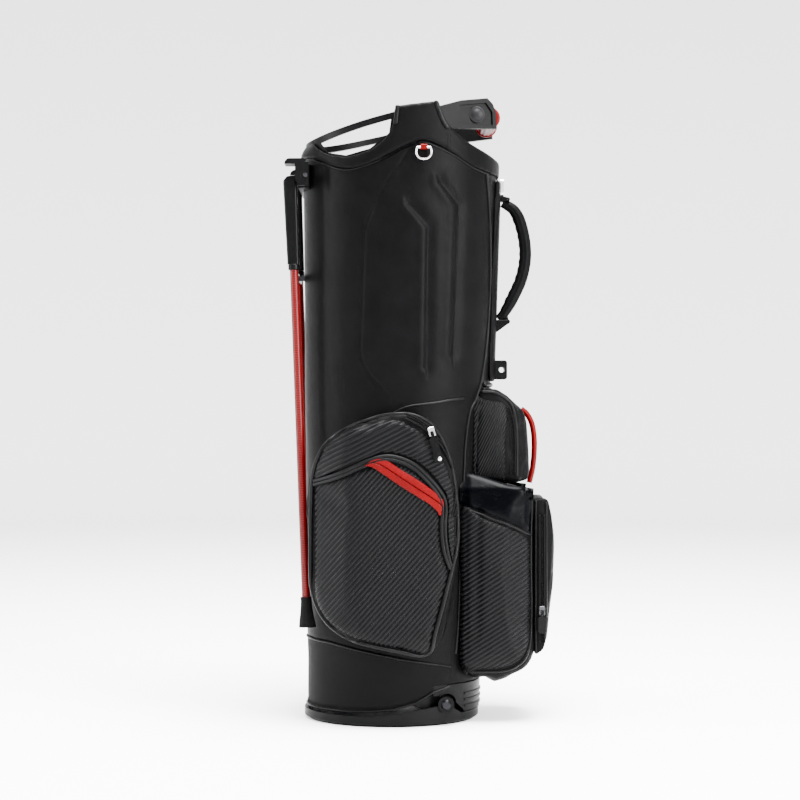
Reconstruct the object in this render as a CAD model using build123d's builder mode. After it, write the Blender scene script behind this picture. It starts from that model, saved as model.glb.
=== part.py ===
"""Golf stand bag: an oval trunk with pockets, hinged on a flat sole, with two legs that swing out as it leans.

Frame: millimetres, +Z up. The origin is the centre of the sole's foot face. The legs hang on the -X side, the
carry handle and the rear pockets are on the +X side, and -Y is the "near" side.
"""

import os
from math import atan2, cos, degrees, hypot, radians, sin, sqrt

from build123d import *

# ---------------------------------------------------------------- driving dimensions
# The trunk is a tapered oval: centre, half length (X) and half width (Y) at two reference heights.
REF_LOW, REF_HIGH = 40.0, 820.0
CENTRE_LOW, CENTRE_HIGH = 3.0, 12.5
HALF_LENGTH_LOW, HALF_LENGTH_HIGH = 126.0, 142.0
HALF_WIDTH_LOW, HALF_WIDTH_HIGH = 106.0, 116.0
SHELL_WALL = 4.0
WIDE = 200.0  # half reach of a profile that cuts right across the bag

# Sole and the hinge that the trunk leans on.
SOLE_HALF_LENGTH, SOLE_HALF_WIDTH = 127.0, 112.0
TREAD, SOLE_TOP, RIM_TOP, RIM_WALL = 3.0, 8.0, 15.0, 5.0
PIVOT_X, PIVOT_Z = 78.0, 30.0
PIN_R, RUNNING_GAP = 5.0, 0.06
BOSS_R, BOSS_OUT = 11.5, 97.0
LEAN = 25.0  # degrees of lean from upright to resting on the legs
CUP_HALF_LENGTH, CUP_HALF_WIDTH, CUP_WALL = 115.0, 97.0, 4.0
CUP_SWING_R = 21.0  # the cup's underside stays this far from the pivot

# Legs.
LEG_Y, LEG_PIVOT_X, LEG_PIVOT_Z = 70.0, -130.0, 782.0
LEG_LINE_X = -144.0  # the tube's centre line at the pivot's height
LEG_TILT = 2.1  # degrees; the feet tuck in towards the trunk
LEG_SPLAY = 0.4  # sine of the hinge pin's skew, which spreads the feet
LEG_TUBE_R, LEG_TUBE_BORE_R = 6.0, 5.0
LEG_TUBE_START, LEG_TUBE_END = 22.0, 618.0  # along the tube, from the pivot's height
HEAD_LENGTH = 126.0

# Side pockets.
POCKET_INNER_Y, POCKET_FACE_Y = 86.0, 138.0
FACE_THICK = 3.0

# Rear pockets.
REAR_FACE_X = 204.0

# Zip sliders: height of the pull's pin above the slider's base.
PULL_HEIGHT = 5.6


def at_height(low, high, z):
    """A trunk dimension at height z, on the straight taper between the two reference heights."""
    return low + (high - low) * (z - REF_LOW) / (REF_HIGH - REF_LOW)


def oval(z, inset=0.0):
    """The trunk's outer outline at height z, inset mm inside it."""
    with BuildSketch(Plane.XY.offset(z)) as section:
        with Locations((at_height(CENTRE_LOW, CENTRE_HIGH, z), 0)):
            Ellipse(
                at_height(HALF_LENGTH_LOW, HALF_LENGTH_HIGH, z) - inset,
                at_height(HALF_WIDTH_LOW, HALF_WIDTH_HIGH, z) - inset,
            )
    return section.sketch


def oval_wall(outer_inset, inner_inset, low, high):
    """A tapered oval wall between two insets and two heights."""
    with BuildPart() as wall:
        loft(sections=[oval(low, outer_inset), oval(high, outer_inset)])
        loft(sections=[oval(low, inner_inset), oval(high, inner_inset)], mode=Mode.SUBTRACT)
    return wall.part


def oval_core(inset, low, high):
    """A solid tapered oval, inset mm inside the trunk's outer face."""
    with BuildPart() as core:
        loft(sections=[oval(low, inset), oval(high, inset)])
    return core.part


def straight_oval(half_length, half_width, low, high):
    """A solid straight-sided oval about the origin, between two heights."""
    with BuildPart() as block:
        with BuildSketch(Plane.XY.offset(low)):
            Ellipse(half_length, half_width)
        extrude(amount=high - low)
    return block.part


def side_outline(*points):
    """A closed straight-edged outline in the X-Z plane."""
    with BuildSketch(Plane.XZ) as outline:
        with BuildLine():
            Polyline(*points, close=True)
        make_face()
    return outline.sketch


def trunk_y(x, z, inset=0.0):
    """Half width of the trunk's outer face at x and z."""
    half_length = at_height(HALF_LENGTH_LOW, HALF_LENGTH_HIGH, z) - inset
    half_width = at_height(HALF_WIDTH_LOW, HALF_WIDTH_HIGH, z) - inset
    share = (x - at_height(CENTRE_LOW, CENTRE_HIGH, z)) / half_length
    return half_width * sqrt(max(0.0, 1.0 - share * share))


finished = {}


def finish(name, part):
    """Labels a finished piece and keeps it for export."""
    part.label = name
    finished[name] = part


# ---------------------------------------------------------------- sole: the foot that stays flat on the ground
with BuildPart() as sole_tread:
    with BuildSketch():
        Ellipse(SOLE_HALF_LENGTH - 5, SOLE_HALF_WIDTH - 5)
    extrude(amount=TREAD)
    chamfer(sole_tread.edges().group_by(Axis.Z)[0], 1.0)
finish("sole_tread", sole_tread.part)

# Each side arm rises from the rim to the pivot boss; its top edge stays under the leaning trunk.
with BuildSketch(Plane.XZ) as arm_outline:
    with BuildLine():
        Polyline(
            (-45, SOLE_TOP), (-45, 14), (-5, 18), (30, 23), (PIVOT_X - 10, 28),
            (PIVOT_X, PIVOT_Z), (PIVOT_X + 10, 24), (PIVOT_X + 22, 15), (PIVOT_X + 22, SOLE_TOP),
            close=True,
        )
    make_face()
    with Locations((PIVOT_X, PIVOT_Z)):
        Circle(BOSS_R)

with BuildPart() as sole_plate:
    with BuildSketch(Plane.XY.offset(TREAD)):
        Ellipse(SOLE_HALF_LENGTH, SOLE_HALF_WIDTH)
    extrude(amount=RIM_TOP - TREAD)
    with BuildSketch(Plane.XY.offset(SOLE_TOP)):
        Ellipse(SOLE_HALF_LENGTH - RIM_WALL, SOLE_HALF_WIDTH - RIM_WALL)
    extrude(amount=RIM_TOP, mode=Mode.SUBTRACT)
    chamfer(sole_plate.edges().group_by(Axis.Z)[0], 1.5)
    with BuildPart(mode=Mode.PRIVATE) as arms:
        add(straight_oval(SOLE_HALF_LENGTH, SOLE_HALF_WIDTH, SOLE_TOP, 60))
        add(
            straight_oval(SOLE_HALF_LENGTH - RIM_WALL, SOLE_HALF_WIDTH - RIM_WALL, SOLE_TOP - 1, 61),
            mode=Mode.SUBTRACT,
        )
        extrude(arm_outline.sketch, amount=WIDE, both=True, mode=Mode.INTERSECT)
    add(arms.part)
    # Round bosses outside the arms carry the pivot bolts.
    with Locations((PIVOT_X, 0, PIVOT_Z)):
        Cylinder(BOSS_R, 2 * BOSS_OUT, rotation=(90, 0, 0))
        Cylinder(BOSS_R + 1, 2 * 83, rotation=(90, 0, 0), mode=Mode.SUBTRACT)
        Cylinder(PIN_R, 2 * 110, rotation=(90, 0, 0), mode=Mode.SUBTRACT)
finish("sole_plate", sole_plate.part)

with BuildPart() as pivot_bolts:
    for side in (-1, 1):
        with Locations(Plane((PIVOT_X, side * 62, PIVOT_Z), x_dir=(1, 0, 0), z_dir=(0, side, 0))):
            Cylinder(PIN_R, BOSS_OUT - 62, align=(Align.CENTER, Align.CENTER, Align.MIN))
        with Locations(Plane((PIVOT_X, side * BOSS_OUT, PIVOT_Z), x_dir=(1, 0, 0), z_dir=(0, side, 0))):
            Cone(7.5, 5.0, 3.0, align=(Align.CENTER, Align.CENTER, Align.MIN))
finish("pivot_bolts", pivot_bolts.part)

# ---------------------------------------------------------------- trunk bottom: cup, heel and shell
swing = radians(LEAN)
CUP_LEFT = -85.0
SLOPE_X, SLOPE_Z = PIVOT_X - CUP_SWING_R * sin(swing), PIVOT_Z - CUP_SWING_R * cos(swing)
CUP_LEFT_Z = SLOPE_Z + (SLOPE_X - CUP_LEFT) * (sin(swing) / cos(swing))
CUP_TOP = 118.0

with BuildSketch(Plane.XZ) as cup_side:
    with BuildLine():
        Polyline((SLOPE_X, SLOPE_Z), (CUP_LEFT, CUP_LEFT_Z), (CUP_LEFT, CUP_TOP), (130, CUP_TOP))
        Polyline((130, CUP_TOP), (130, PIVOT_Z - CUP_SWING_R), (PIVOT_X, PIVOT_Z - CUP_SWING_R))
        CenterArc((PIVOT_X, PIVOT_Z), CUP_SWING_R, 270, -LEAN)
    make_face()
cup_floor = side_outline(
    (PIVOT_X, PIVOT_Z - CUP_SWING_R + CUP_WALL + 1),
    (CUP_LEFT + CUP_WALL, CUP_LEFT_Z + 6),
    (CUP_LEFT + CUP_WALL, CUP_TOP + 5),
    (130, CUP_TOP + 5),
    (130, PIVOT_Z - CUP_SWING_R + CUP_WALL + 1),
)
with BuildPart() as base_cup:
    add(straight_oval(CUP_HALF_LENGTH, CUP_HALF_WIDTH, 0, CUP_TOP))
    extrude(cup_side.sketch, amount=WIDE, both=True, mode=Mode.INTERSECT)
    with BuildPart(mode=Mode.PRIVATE) as cup_inside:
        add(straight_oval(CUP_HALF_LENGTH - CUP_WALL, CUP_HALF_WIDTH - CUP_WALL, 0, CUP_TOP + 5))
        extrude(cup_floor, amount=WIDE, both=True, mode=Mode.INTERSECT)
    add(cup_inside.part, mode=Mode.SUBTRACT)
    for side in (-1, 1):
        with Locations(Plane((PIVOT_X, side * 65, PIVOT_Z), x_dir=(1, 0, 0), z_dir=(0, side, 0))):
            Cylinder(10, 15, align=(Align.CENTER, Align.CENTER, Align.MIN))
    with Locations((PIVOT_X, 0, PIVOT_Z)):
        Cylinder(PIN_R + RUNNING_GAP, 2 * 90, rotation=(90, 0, 0), mode=Mode.SUBTRACT)
finish("base_cup", base_cup.part)

# The shell's lower edge climbs towards the legs, so that the sole has room as the bag leans.
HEEL_TOP, HEEL_LOW, SHELL_EDGE_X = 56.5, 16.0, 88.0
SHELL_EDGE_LEFT_Z, SHELL_EDGE_RIGHT_Z = 118.0, 83.0
with BuildPart() as heel_shell:
    add(oval_wall(0, 7, HEEL_LOW, HEEL_TOP))
    extrude(
        side_outline((60, HEEL_LOW), (60, HEEL_TOP), (150, HEEL_TOP), (150, HEEL_LOW)),
        amount=WIDE, both=True, mode=Mode.INTERSECT,
    )
    with Locations((PIVOT_X, 0, PIVOT_Z)):
        Cylinder(BOSS_R + 3, 2 * WIDE, rotation=(90, 0, 0), mode=Mode.SUBTRACT)
    # The arm sweeps through the corner below and to the left of the pivot.
    extrude(
        side_outline(
            (PIVOT_X, PIVOT_Z), (PIVOT_X + 15, PIVOT_Z), (PIVOT_X + 26, HEEL_LOW + 2),
            (PIVOT_X + 26, 0), (40, 0), (40, PIVOT_Z + 12), (PIVOT_X - 8, PIVOT_Z + 12),
        ),
        amount=WIDE, both=True, mode=Mode.SUBTRACT,
    )
    # Moulded ribs stand out of the heel's face.
    for rib_z in (22.0, 31.0, 40.0):
        with BuildPart(mode=Mode.PRIVATE) as rib:
            add(oval_wall(-1.5, 1, rib_z, rib_z + 3.0))
            extrude(
                side_outline((PIVOT_X + 28, 10), (PIVOT_X + 28, 60), (160, 60), (160, 10)),
                amount=WIDE, both=True, mode=Mode.INTERSECT,
            )
        add(rib.part)
finish("heel_shell", heel_shell.part)

# Upper edge of the shell, under the cuff: a wave that dips at the front window and peaks under the saddle.
with BuildSketch(Plane.XZ) as shell_side:
    with BuildLine():
        Polyline((-150, 815), (-150, SHELL_EDGE_LEFT_Z + 4), (-88, SHELL_EDGE_LEFT_Z),
                 (SHELL_EDGE_X, SHELL_EDGE_RIGHT_Z), (SHELL_EDGE_X, HEEL_TOP + 0.3), (170, HEEL_TOP + 0.3), (170, 782))
        Spline((170, 782), (154, 785), (120, 793), (84, 812), (46, 826), (20, 820), (-16, 801),
               (-64, 789), (-110, 806), (-150, 815))
    make_face()
with BuildPart() as trunk_shell:
    add(oval_wall(0, SHELL_WALL, HEEL_TOP, 860))
    extrude(shell_side.sketch, amount=WIDE, both=True, mode=Mode.INTERSECT)
    # Slot for the push rod's arm.
    with Locations((-128, 0, 685)):
        Box(30, 14, 116, mode=Mode.SUBTRACT)
finish("trunk_shell", trunk_shell.part)

with BuildPart() as base_skirt:
    add(oval_wall(0.2, 3.4, RIM_TOP, 130))
    with BuildSketch(Plane.XZ) as skirt_side:
        with BuildLine():
            Polyline((76, 51), (76, HEEL_TOP + 0.4), (SHELL_EDGE_X - 0.4, HEEL_TOP + 0.4),
                     (SHELL_EDGE_X - 0.4, SHELL_EDGE_RIGHT_Z - 0.6), (-88, SHELL_EDGE_LEFT_Z - 0.6),
                     (-150, SHELL_EDGE_LEFT_Z + 3.2), (-150, RIM_TOP + 1))
            Spline((-150, RIM_TOP + 1), (-60, RIM_TOP + 2), (0, 22), (35, 32), (60, 46.5), (76, 51))
        make_face()
    extrude(skirt_side.sketch, amount=WIDE, both=True, mode=Mode.INTERSECT)
    with Locations((PIVOT_X, 0, PIVOT_Z)):
        Cylinder(BOSS_R + 1.5, 2 * WIDE, rotation=(90, 0, 0), mode=Mode.SUBTRACT)
    extrude(
        side_outline((56, HEEL_LOW - 2), (56, HEEL_TOP - 4), (59, HEEL_TOP + 0.4), (90, HEEL_TOP + 0.4),
                     (90, HEEL_LOW - 2)),
        amount=WIDE, both=True, mode=Mode.SUBTRACT,
    )
finish("base_skirt", base_skirt.part)

# ---------------------------------------------------------------- inside the trunk: stays and dividers
STAY_X, STAY_Y, STAY_R, STAY_LENGTH = -55.0, 84.0, 4.0, 640.0
with BuildPart() as stay_rods:
    for stay_y in (-STAY_Y, STAY_Y):
        with Locations((STAY_X, stay_y, CUP_TOP + 2)):
            Cylinder(STAY_R, STAY_LENGTH, align=(Align.CENTER, Align.CENTER, Align.MIN))
finish("stay_rods", stay_rods.part)

# Club wells: one across the front, then two pairs behind it.
WALL_THICK = 2.4
FRONT_WALL_X, REAR_WALL_X = -40.0, 50.0
WALL_TOP = 762.0


def divider(centre_x, length_x, length_y):
    """One full-length fabric wall of the club wells, clear of the shell and of the cup's floor."""
    with BuildPart() as wall:
        with BuildSketch(Plane.XY.offset(CUP_TOP + 2)):
            with Locations((centre_x, 0)):
                Rectangle(length_x, length_y)
        extrude(amount=WALL_TOP - CUP_TOP - 2)
    return wall.part


with BuildPart() as divider_walls:
    add(divider(FRONT_WALL_X, WALL_THICK, 2 * 92))
    add(divider(REAR_WALL_X, WALL_THICK, 2 * 92))
    add(divider((FRONT_WALL_X + REAR_WALL_X) / 2, REAR_WALL_X - FRONT_WALL_X - WALL_THICK - 1, WALL_THICK))
    add(divider((REAR_WALL_X + 118) / 2, 118 - REAR_WALL_X - WALL_THICK - 1, WALL_THICK))
finish("divider_walls", divider_walls.part)

# ---------------------------------------------------------------- top: moulded ring, cuff and handles
RING_OUT, RING_IN = 4.3, 11.0
GRIP_X, GRIP_Z, GRIP_R, GRIP_CORE_R = 141.0, 869.0, 16.0, 6.0
ARM_START, ARM_END, ARM_START_Y, ARM_END_Y, ARM_THICK = 58.0, 151.0, 103.0, 56.0, 7.0

# The ring: collar inside the shell, arch under the saddle, and the front rail that is the lift handle.
with BuildSketch(Plane.XZ) as ring_side:
    with BuildLine():
        Polyline(
            (-150, 764), (170, 764), (170, 806), (146, 812), (122, 822), (96, 838), (78, 856), (70, 876),
            (8, 869), (-40, 857), (-110, 838), (-150, 829), close=True,
        )
    make_face()
    # Window between the rail and the cuff: the hand reaches through it.
    with BuildLine():
        Polyline((-101, 831), (-40, 848), (0, 858.5), (-3, 838), (-30, 817), (-64, 809), (-90, 815), close=True)
    make_face(mode=Mode.SUBTRACT)

arm_side = side_outline(
    (ARM_START, 846), (152, 852), (151, 874), (146, 887), (138, 895), (100, 889), (ARM_START, 875),
)
arm_recess = side_outline((92, 854), (146, 857), (145, 876), (136, 888), (98, 882))


def arm_plan(outer, inner, side):
    """Plan of one straight rear handle arm, between two offsets inward from its outer face."""
    run_x, run_y = ARM_END - ARM_START, ARM_END_Y - ARM_START_Y
    length = hypot(run_x, run_y)
    across_x, across_y = run_y / length, -run_x / length
    with BuildSketch(Plane.XY.offset(840)) as plan:
        with BuildLine():
            Polyline(
                *[
                    (x + across_x * depth, side * (y + across_y * depth))
                    for x, y, depth in (
                        (ARM_START, ARM_START_Y, outer), (ARM_END, ARM_END_Y, outer),
                        (ARM_END, ARM_END_Y, inner), (ARM_START, ARM_START_Y, inner),
                    )
                ],
                close=True,
            )
        make_face()
    return plan.sketch


def handle_arm(side):
    """One rear handle arm: a plate with a recessed outer face."""
    with BuildPart() as arm:
        extrude(arm_plan(0, ARM_THICK, side), amount=60)
        extrude(arm_side, amount=WIDE, both=True, mode=Mode.INTERSECT)
        with BuildPart(mode=Mode.PRIVATE) as recess:
            extrude(arm_plan(-1, 3, side), amount=60)
            extrude(arm_recess, amount=WIDE, both=True, mode=Mode.INTERSECT)
        add(recess.part, mode=Mode.SUBTRACT)
    return arm.part


with BuildPart() as top_ring:
    add(oval_wall(RING_OUT, RING_IN, 764, 892))
    extrude(ring_side.sketch, amount=WIDE, both=True, mode=Mode.INTERSECT)
    for side in (-1, 1):
        add(handle_arm(side))
    with Locations((GRIP_X, 0, GRIP_Z)):
        Cylinder(GRIP_CORE_R, 2 * 56, rotation=(90, 0, 0))
finish("top_ring", top_ring.part)

# Padded crossbars of the divider top, over the fabric walls.
BAR_LOW, BAR_HIGH, BAR_THICK = 766.0, 782.0, 9.0
with BuildPart() as divider_top:
    with BuildSketch(Plane.XY.offset(BAR_LOW)):
        for bar_x in (FRONT_WALL_X, REAR_WALL_X):
            with Locations((bar_x, 0)):
                Rectangle(BAR_THICK, 230)
        with Locations((FRONT_WALL_X, 0)):
            Rectangle(170 - FRONT_WALL_X, BAR_THICK, align=(Align.MIN, Align.CENTER))
    extrude(amount=BAR_HIGH - BAR_LOW)
    add(oval_core(RING_IN + 0.2, BAR_LOW - 2, BAR_HIGH + 2), mode=Mode.INTERSECT)
finish("divider_top", divider_top.part)

# The cuff: a padded collar outside the ring, with a saddle that wraps over the arch on each side.
CUFF_OUT, CUFF_IN = -4.0, 4.0
SADDLE_FRONT, SADDLE_REAR = 6.0, 66.0
with BuildSketch(Plane.XZ) as cuff_side:
    with BuildLine():
        Spline((-150, 815.4), (-110, 806.4), (-64, 789.4), (-16, 801.4), (20, 820.4), (46, 826.4),
               (84, 812.4), (120, 793.4), (154, 785.4), (170, 782.4))
        Polyline((170, 782.4), (170, 804), (150, 811))
        Spline((150, 811), (136, 817), (112, 828), (92, 842), (76, 858), (SADDLE_REAR, 882))
        Polyline((SADDLE_REAR, 882), (SADDLE_FRONT, 873))
        Spline((SADDLE_FRONT, 873), (3, 852), (-6, 834), (-30, 815), (-64, 807), (-96, 815), (-118, 833),
               (-134, 840), (-150, 838))
        Line((-150, 838), (-150, 815.4))
    make_face()
saddle_cap = side_outline(
    (SADDLE_FRONT, 869.6), (SADDLE_FRONT, 875.5), (SADDLE_REAR, 883.5), (SADDLE_REAR, 876.6),
)
with BuildPart() as top_cuff:
    add(oval_wall(CUFF_OUT, CUFF_IN, 780, 892))
    extrude(cuff_side.sketch, amount=WIDE, both=True, mode=Mode.INTERSECT)
    with BuildPart(mode=Mode.PRIVATE) as caps:
        add(oval_wall(CUFF_OUT, RING_IN + 2, 860, 892))
        extrude(saddle_cap, amount=WIDE, both=True, mode=Mode.INTERSECT)
    add(caps.part)
    add(top_ring.part, mode=Mode.SUBTRACT)
finish("top_cuff", top_cuff.part)

with BuildPart() as saddle_bindings:
    add(oval_wall(CUFF_OUT - 2.5, CUFF_OUT, 780, 900))
    extrude(
        side_outline((3, 850), (SADDLE_FRONT, 876), (SADDLE_FRONT + 6, 876), (9, 850)),
        amount=WIDE, both=True, mode=Mode.INTERSECT,
    )
    with BuildPart(mode=Mode.PRIVATE) as rear_binding:
        add(oval_wall(CUFF_OUT - 2.5, CUFF_OUT, 780, 900))
        extrude(
            side_outline((SADDLE_REAR - 6, 883), (SADDLE_REAR, 883), (76, 858), (84, 846), (78, 844), (70, 856)),
            amount=WIDE, both=True, mode=Mode.INTERSECT,
        )
    add(rear_binding.part)
finish("saddle_bindings", saddle_bindings.part)

with BuildPart() as handle_grip:
    with Locations((GRIP_X, 0, GRIP_Z)):
        Cylinder(GRIP_R, 2 * 46.5, rotation=(90, 0, 0))
        fillet(handle_grip.edges().filter_by(GeomType.CIRCLE), 2.0)
        Cylinder(GRIP_CORE_R, 100, rotation=(90, 0, 0), mode=Mode.SUBTRACT)
finish("handle_grip", handle_grip.part)

STUD_X, STUD_Z, STUD_R = 122.0, 870.0, 11.5
with BuildPart() as strap_studs:
    for side in (-1, 1):
        face_y = ARM_START_Y + (ARM_END_Y - ARM_START_Y) * (STUD_X - ARM_START) / (ARM_END - ARM_START)
        with BuildSketch(Plane((STUD_X, side * (face_y + 2.5), STUD_Z), x_dir=(1, 0, 0), z_dir=(0, side, 0))):
            Circle(STUD_R)
        extrude(amount=2.5, taper=12)
        with BuildSketch(Plane((STUD_X, side * (face_y + 2.5), STUD_Z), x_dir=(1, 0, 0), z_dir=(0, -side, 0))):
            Circle(6)
        extrude(amount=2.0)
    add(top_ring.part, mode=Mode.SUBTRACT)
finish("strap_studs", strap_studs.part)

# ---------------------------------------------------------------- spine, carry handle and strap fittings
SPINE_HALF, SPINE_LOW, SPINE_HIGH, SPINE_PROUD = 34.0, 486.0, 784.0, 6.0
with BuildPart() as spine_panel:
    add(oval_wall(-SPINE_PROUD, 0, SPINE_LOW, SPINE_HIGH))
    with BuildPart(mode=Mode.PRIVATE) as spine_band:
        with BuildSketch(Plane.XY.offset(SPINE_LOW)):
            with Locations((120, 0)):
                Rectangle(80, 2 * SPINE_HALF)
        extrude(amount=SPINE_HIGH - SPINE_LOW)
    add(spine_band.part, mode=Mode.INTERSECT)
finish("spine_panel", spine_panel.part)

HANDLE_AXIS_X, HANDLE_TOP_Z, HANDLE_LOW_Z, HANDLE_BOW_X, HANDLE_R = 168.4, 744.0, 588.0, 196.0, 8.5
with BuildPart() as carry_handle:
    with BuildLine() as handle_path:
        ThreePointArc(
            (HANDLE_AXIS_X, 0, HANDLE_TOP_Z), (HANDLE_BOW_X, 0, (HANDLE_TOP_Z + HANDLE_LOW_Z) / 2),
            (HANDLE_AXIS_X, 0, HANDLE_LOW_Z),
        )
    with BuildSketch(Plane(origin=handle_path.line @ 0, z_dir=handle_path.line % 0)):
        Circle(HANDLE_R)
    sweep()
    with Locations((HANDLE_AXIS_X, 0, HANDLE_TOP_Z), (HANDLE_AXIS_X, 0, HANDLE_LOW_Z)):
        Sphere(HANDLE_R)
    with Locations((HANDLE_AXIS_X, 0, HANDLE_TOP_Z + 1), (HANDLE_AXIS_X, 0, HANDLE_LOW_Z - 1)):
        Cylinder(2.5 + RUNNING_GAP, 24, mode=Mode.SUBTRACT)
finish("carry_handle", carry_handle.part)

with BuildPart() as handle_anchors:
    for end_z, up in ((HANDLE_TOP_Z, 1), (HANDLE_LOW_Z, -1)):
        with Locations((156, 0, end_z + up * (HANDLE_R + 3))):
            Box(34, 22, 5)
        with Locations((HANDLE_AXIS_X, 0, end_z + up * 5)):
            Cylinder(2.5, 10)
    add(oval_core(-SPINE_PROUD, 500, 800), mode=Mode.SUBTRACT)
finish("handle_anchors", handle_anchors.part)

with BuildPart() as strap_plate:
    with BuildSketch(Plane.YZ.offset(150)):
        with Locations((0, 773)):
            RectangleRounded(24, 25, 5)
    extrude(amount=14)
    add(oval_core(-SPINE_PROUD, 700, 800), mode=Mode.SUBTRACT)
finish("strap_plate", strap_plate.part)

CLIP_Z = 506.0
with BuildPart() as strap_clip:
    with BuildSketch(Plane.XZ):
        with Locations((157, CLIP_Z)):
            RectangleRounded(24, 28, 4)
    extrude(amount=13, both=True)
    add(oval_core(-SPINE_PROUD, 450, 600), mode=Mode.SUBTRACT)
    with Locations((161, 0, CLIP_Z)):
        Cylinder(4.0, 60, rotation=(90, 0, 0), mode=Mode.SUBTRACT)
finish("strap_clip", strap_clip.part)

# ---------------------------------------------------------------- towel ring on its tab
RING_X, RING_BAR_Z, RING_WIRE_R, RING_SPAN, RING_DROP = 46.0, 817.0, 1.6, 9.0, 16.5
RING_Y = trunk_y(RING_X, RING_BAR_Z) + 7.0
with BuildPart() as towel_ring:
    with BuildLine(Plane.XZ.offset(RING_Y)) as ring_path:
        ThreePointArc(
            (RING_X + RING_SPAN, RING_BAR_Z), (RING_X, RING_BAR_Z - RING_DROP), (RING_X - RING_SPAN, RING_BAR_Z)
        )
    with BuildSketch(Plane(origin=ring_path.line @ 0, z_dir=ring_path.line % 0)):
        Circle(RING_WIRE_R)
    sweep()
    with Locations((RING_X, -RING_Y, RING_BAR_Z)):
        Cylinder(RING_WIRE_R, 2 * RING_SPAN + 2, rotation=(0, 90, 0))
finish("towel_ring", towel_ring.part)

with BuildPart() as ring_tab:
    with Locations((RING_X, -RING_Y + 0.5, RING_BAR_Z + 0.5)):
        Box(9, 16, 7)
    fillet(ring_tab.edges().filter_by(Axis.X), 2.0)
    with Locations((RING_X, -RING_Y, RING_BAR_Z)):
        Cylinder(RING_WIRE_R + RUNNING_GAP, 20, rotation=(0, 90, 0), mode=Mode.SUBTRACT)
    add(oval_core(-0.01, 780, 840), mode=Mode.SUBTRACT)
finish("ring_tab", ring_tab.part)

# ---------------------------------------------------------------- legs, their bracket and the push rod
tilt = radians(LEG_TILT)
LEG_DOWN = (sin(tilt), 0, -cos(tilt))
EAR_IN, EAR_OUT, EAR_THICK = 57.0, 83.0, 4.0
CAP_LOW = 798.0


def pin_axis(side):
    """The skewed hinge axis of one leg; a positive turn swings the foot forward and outward."""
    return (side * LEG_SPLAY, sqrt(1 - LEG_SPLAY**2), 0)


def leg_plane(side, distance):
    """A plane across a leg's tube, distance mm down it from the pivot's height."""
    return Plane(
        (LEG_LINE_X + LEG_DOWN[0] * distance, side * LEG_Y, LEG_PIVOT_Z + LEG_DOWN[2] * distance),
        x_dir=(0, 1, 0), z_dir=LEG_DOWN,
    )


def pin_plane(side):
    """A plane at a leg's pivot with its normal along the hinge axis."""
    return Plane((LEG_PIVOT_X, side * LEG_Y, LEG_PIVOT_Z), x_dir=(0, 0, 1), z_dir=pin_axis(side))


with BuildPart() as leg_bracket:
    # Back plate against the trunk, with two ears for each leg.
    with Locations((-126, 0, 784)):
        Box(16, 2 * (EAR_OUT + EAR_THICK), 34)
    add(oval_core(-0.05, 700, 850), mode=Mode.SUBTRACT)
    for side in (-1, 1):
        for ear_y in (EAR_IN - EAR_THICK, EAR_OUT):
            with BuildSketch(Plane((0, side * ear_y, 0), x_dir=(1, 0, 0), z_dir=(0, -1, 0))):
                with Locations((LEG_PIVOT_X + 0.5, LEG_PIVOT_Z + 7)):
                    RectangleRounded(15, 34, 5)
            extrude(amount=-side * EAR_THICK)
    # Room for the leg heads, the rod's arm and the trunk.
    for side in (-1, 1):
        with Locations((-140, side * (EAR_IN + EAR_OUT) / 2, 775)):
            Box(60, EAR_OUT - EAR_IN, 70, mode=Mode.SUBTRACT)
        with Locations(pin_plane(side)):
            Cylinder(3.0, 80, mode=Mode.SUBTRACT)
    # Rounded cap over each leg head, where the head stops.
    for side in (-1, 1):
        with BuildSketch(Plane((0, side * (EAR_IN + EAR_OUT) / 2, 0), x_dir=(1, 0, 0), z_dir=(0, -1, 0))):
            with BuildLine():
                Line((-152, CAP_LOW), (-128, CAP_LOW))
                Line((-128, CAP_LOW), (-128, CAP_LOW + 8))
                Line((-128, CAP_LOW + 8), (-144, CAP_LOW + 8))
                ThreePointArc((-144, CAP_LOW + 8), (-149.8, CAP_LOW + 5.7), (-152, CAP_LOW))
            make_face()
        extrude(amount=(EAR_OUT - EAR_IN) / 2 + EAR_THICK, both=True)
    add(oval_core(-0.05, 700, 850), mode=Mode.SUBTRACT)
finish("leg_bracket", leg_bracket.part)

with BuildPart() as leg_hinge_pins:
    for side in (-1, 1):
        with Locations(pin_plane(side)):
            Cylinder(3.0, 80)
    with BuildPart(mode=Mode.PRIVATE) as pin_space:
        for side in (-1, 1):
            with Locations((LEG_PIVOT_X, side * (EAR_IN + EAR_OUT) / 2, LEG_PIVOT_Z)):
                Box(80, EAR_OUT - EAR_IN + 2 * EAR_THICK + 2, 40)
    add(pin_space.part, mode=Mode.INTERSECT)
finish("leg_hinge_pins", leg_hinge_pins.part)


with BuildPart() as leg_springs:
    for side in (-1, 1):
        for turn in range(3):
            with Locations(pin_plane(side).offset(side * (8.8 + 1.1 * turn))):
                Torus(3.9, 0.6)
finish("leg_springs", leg_springs.part)


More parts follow.
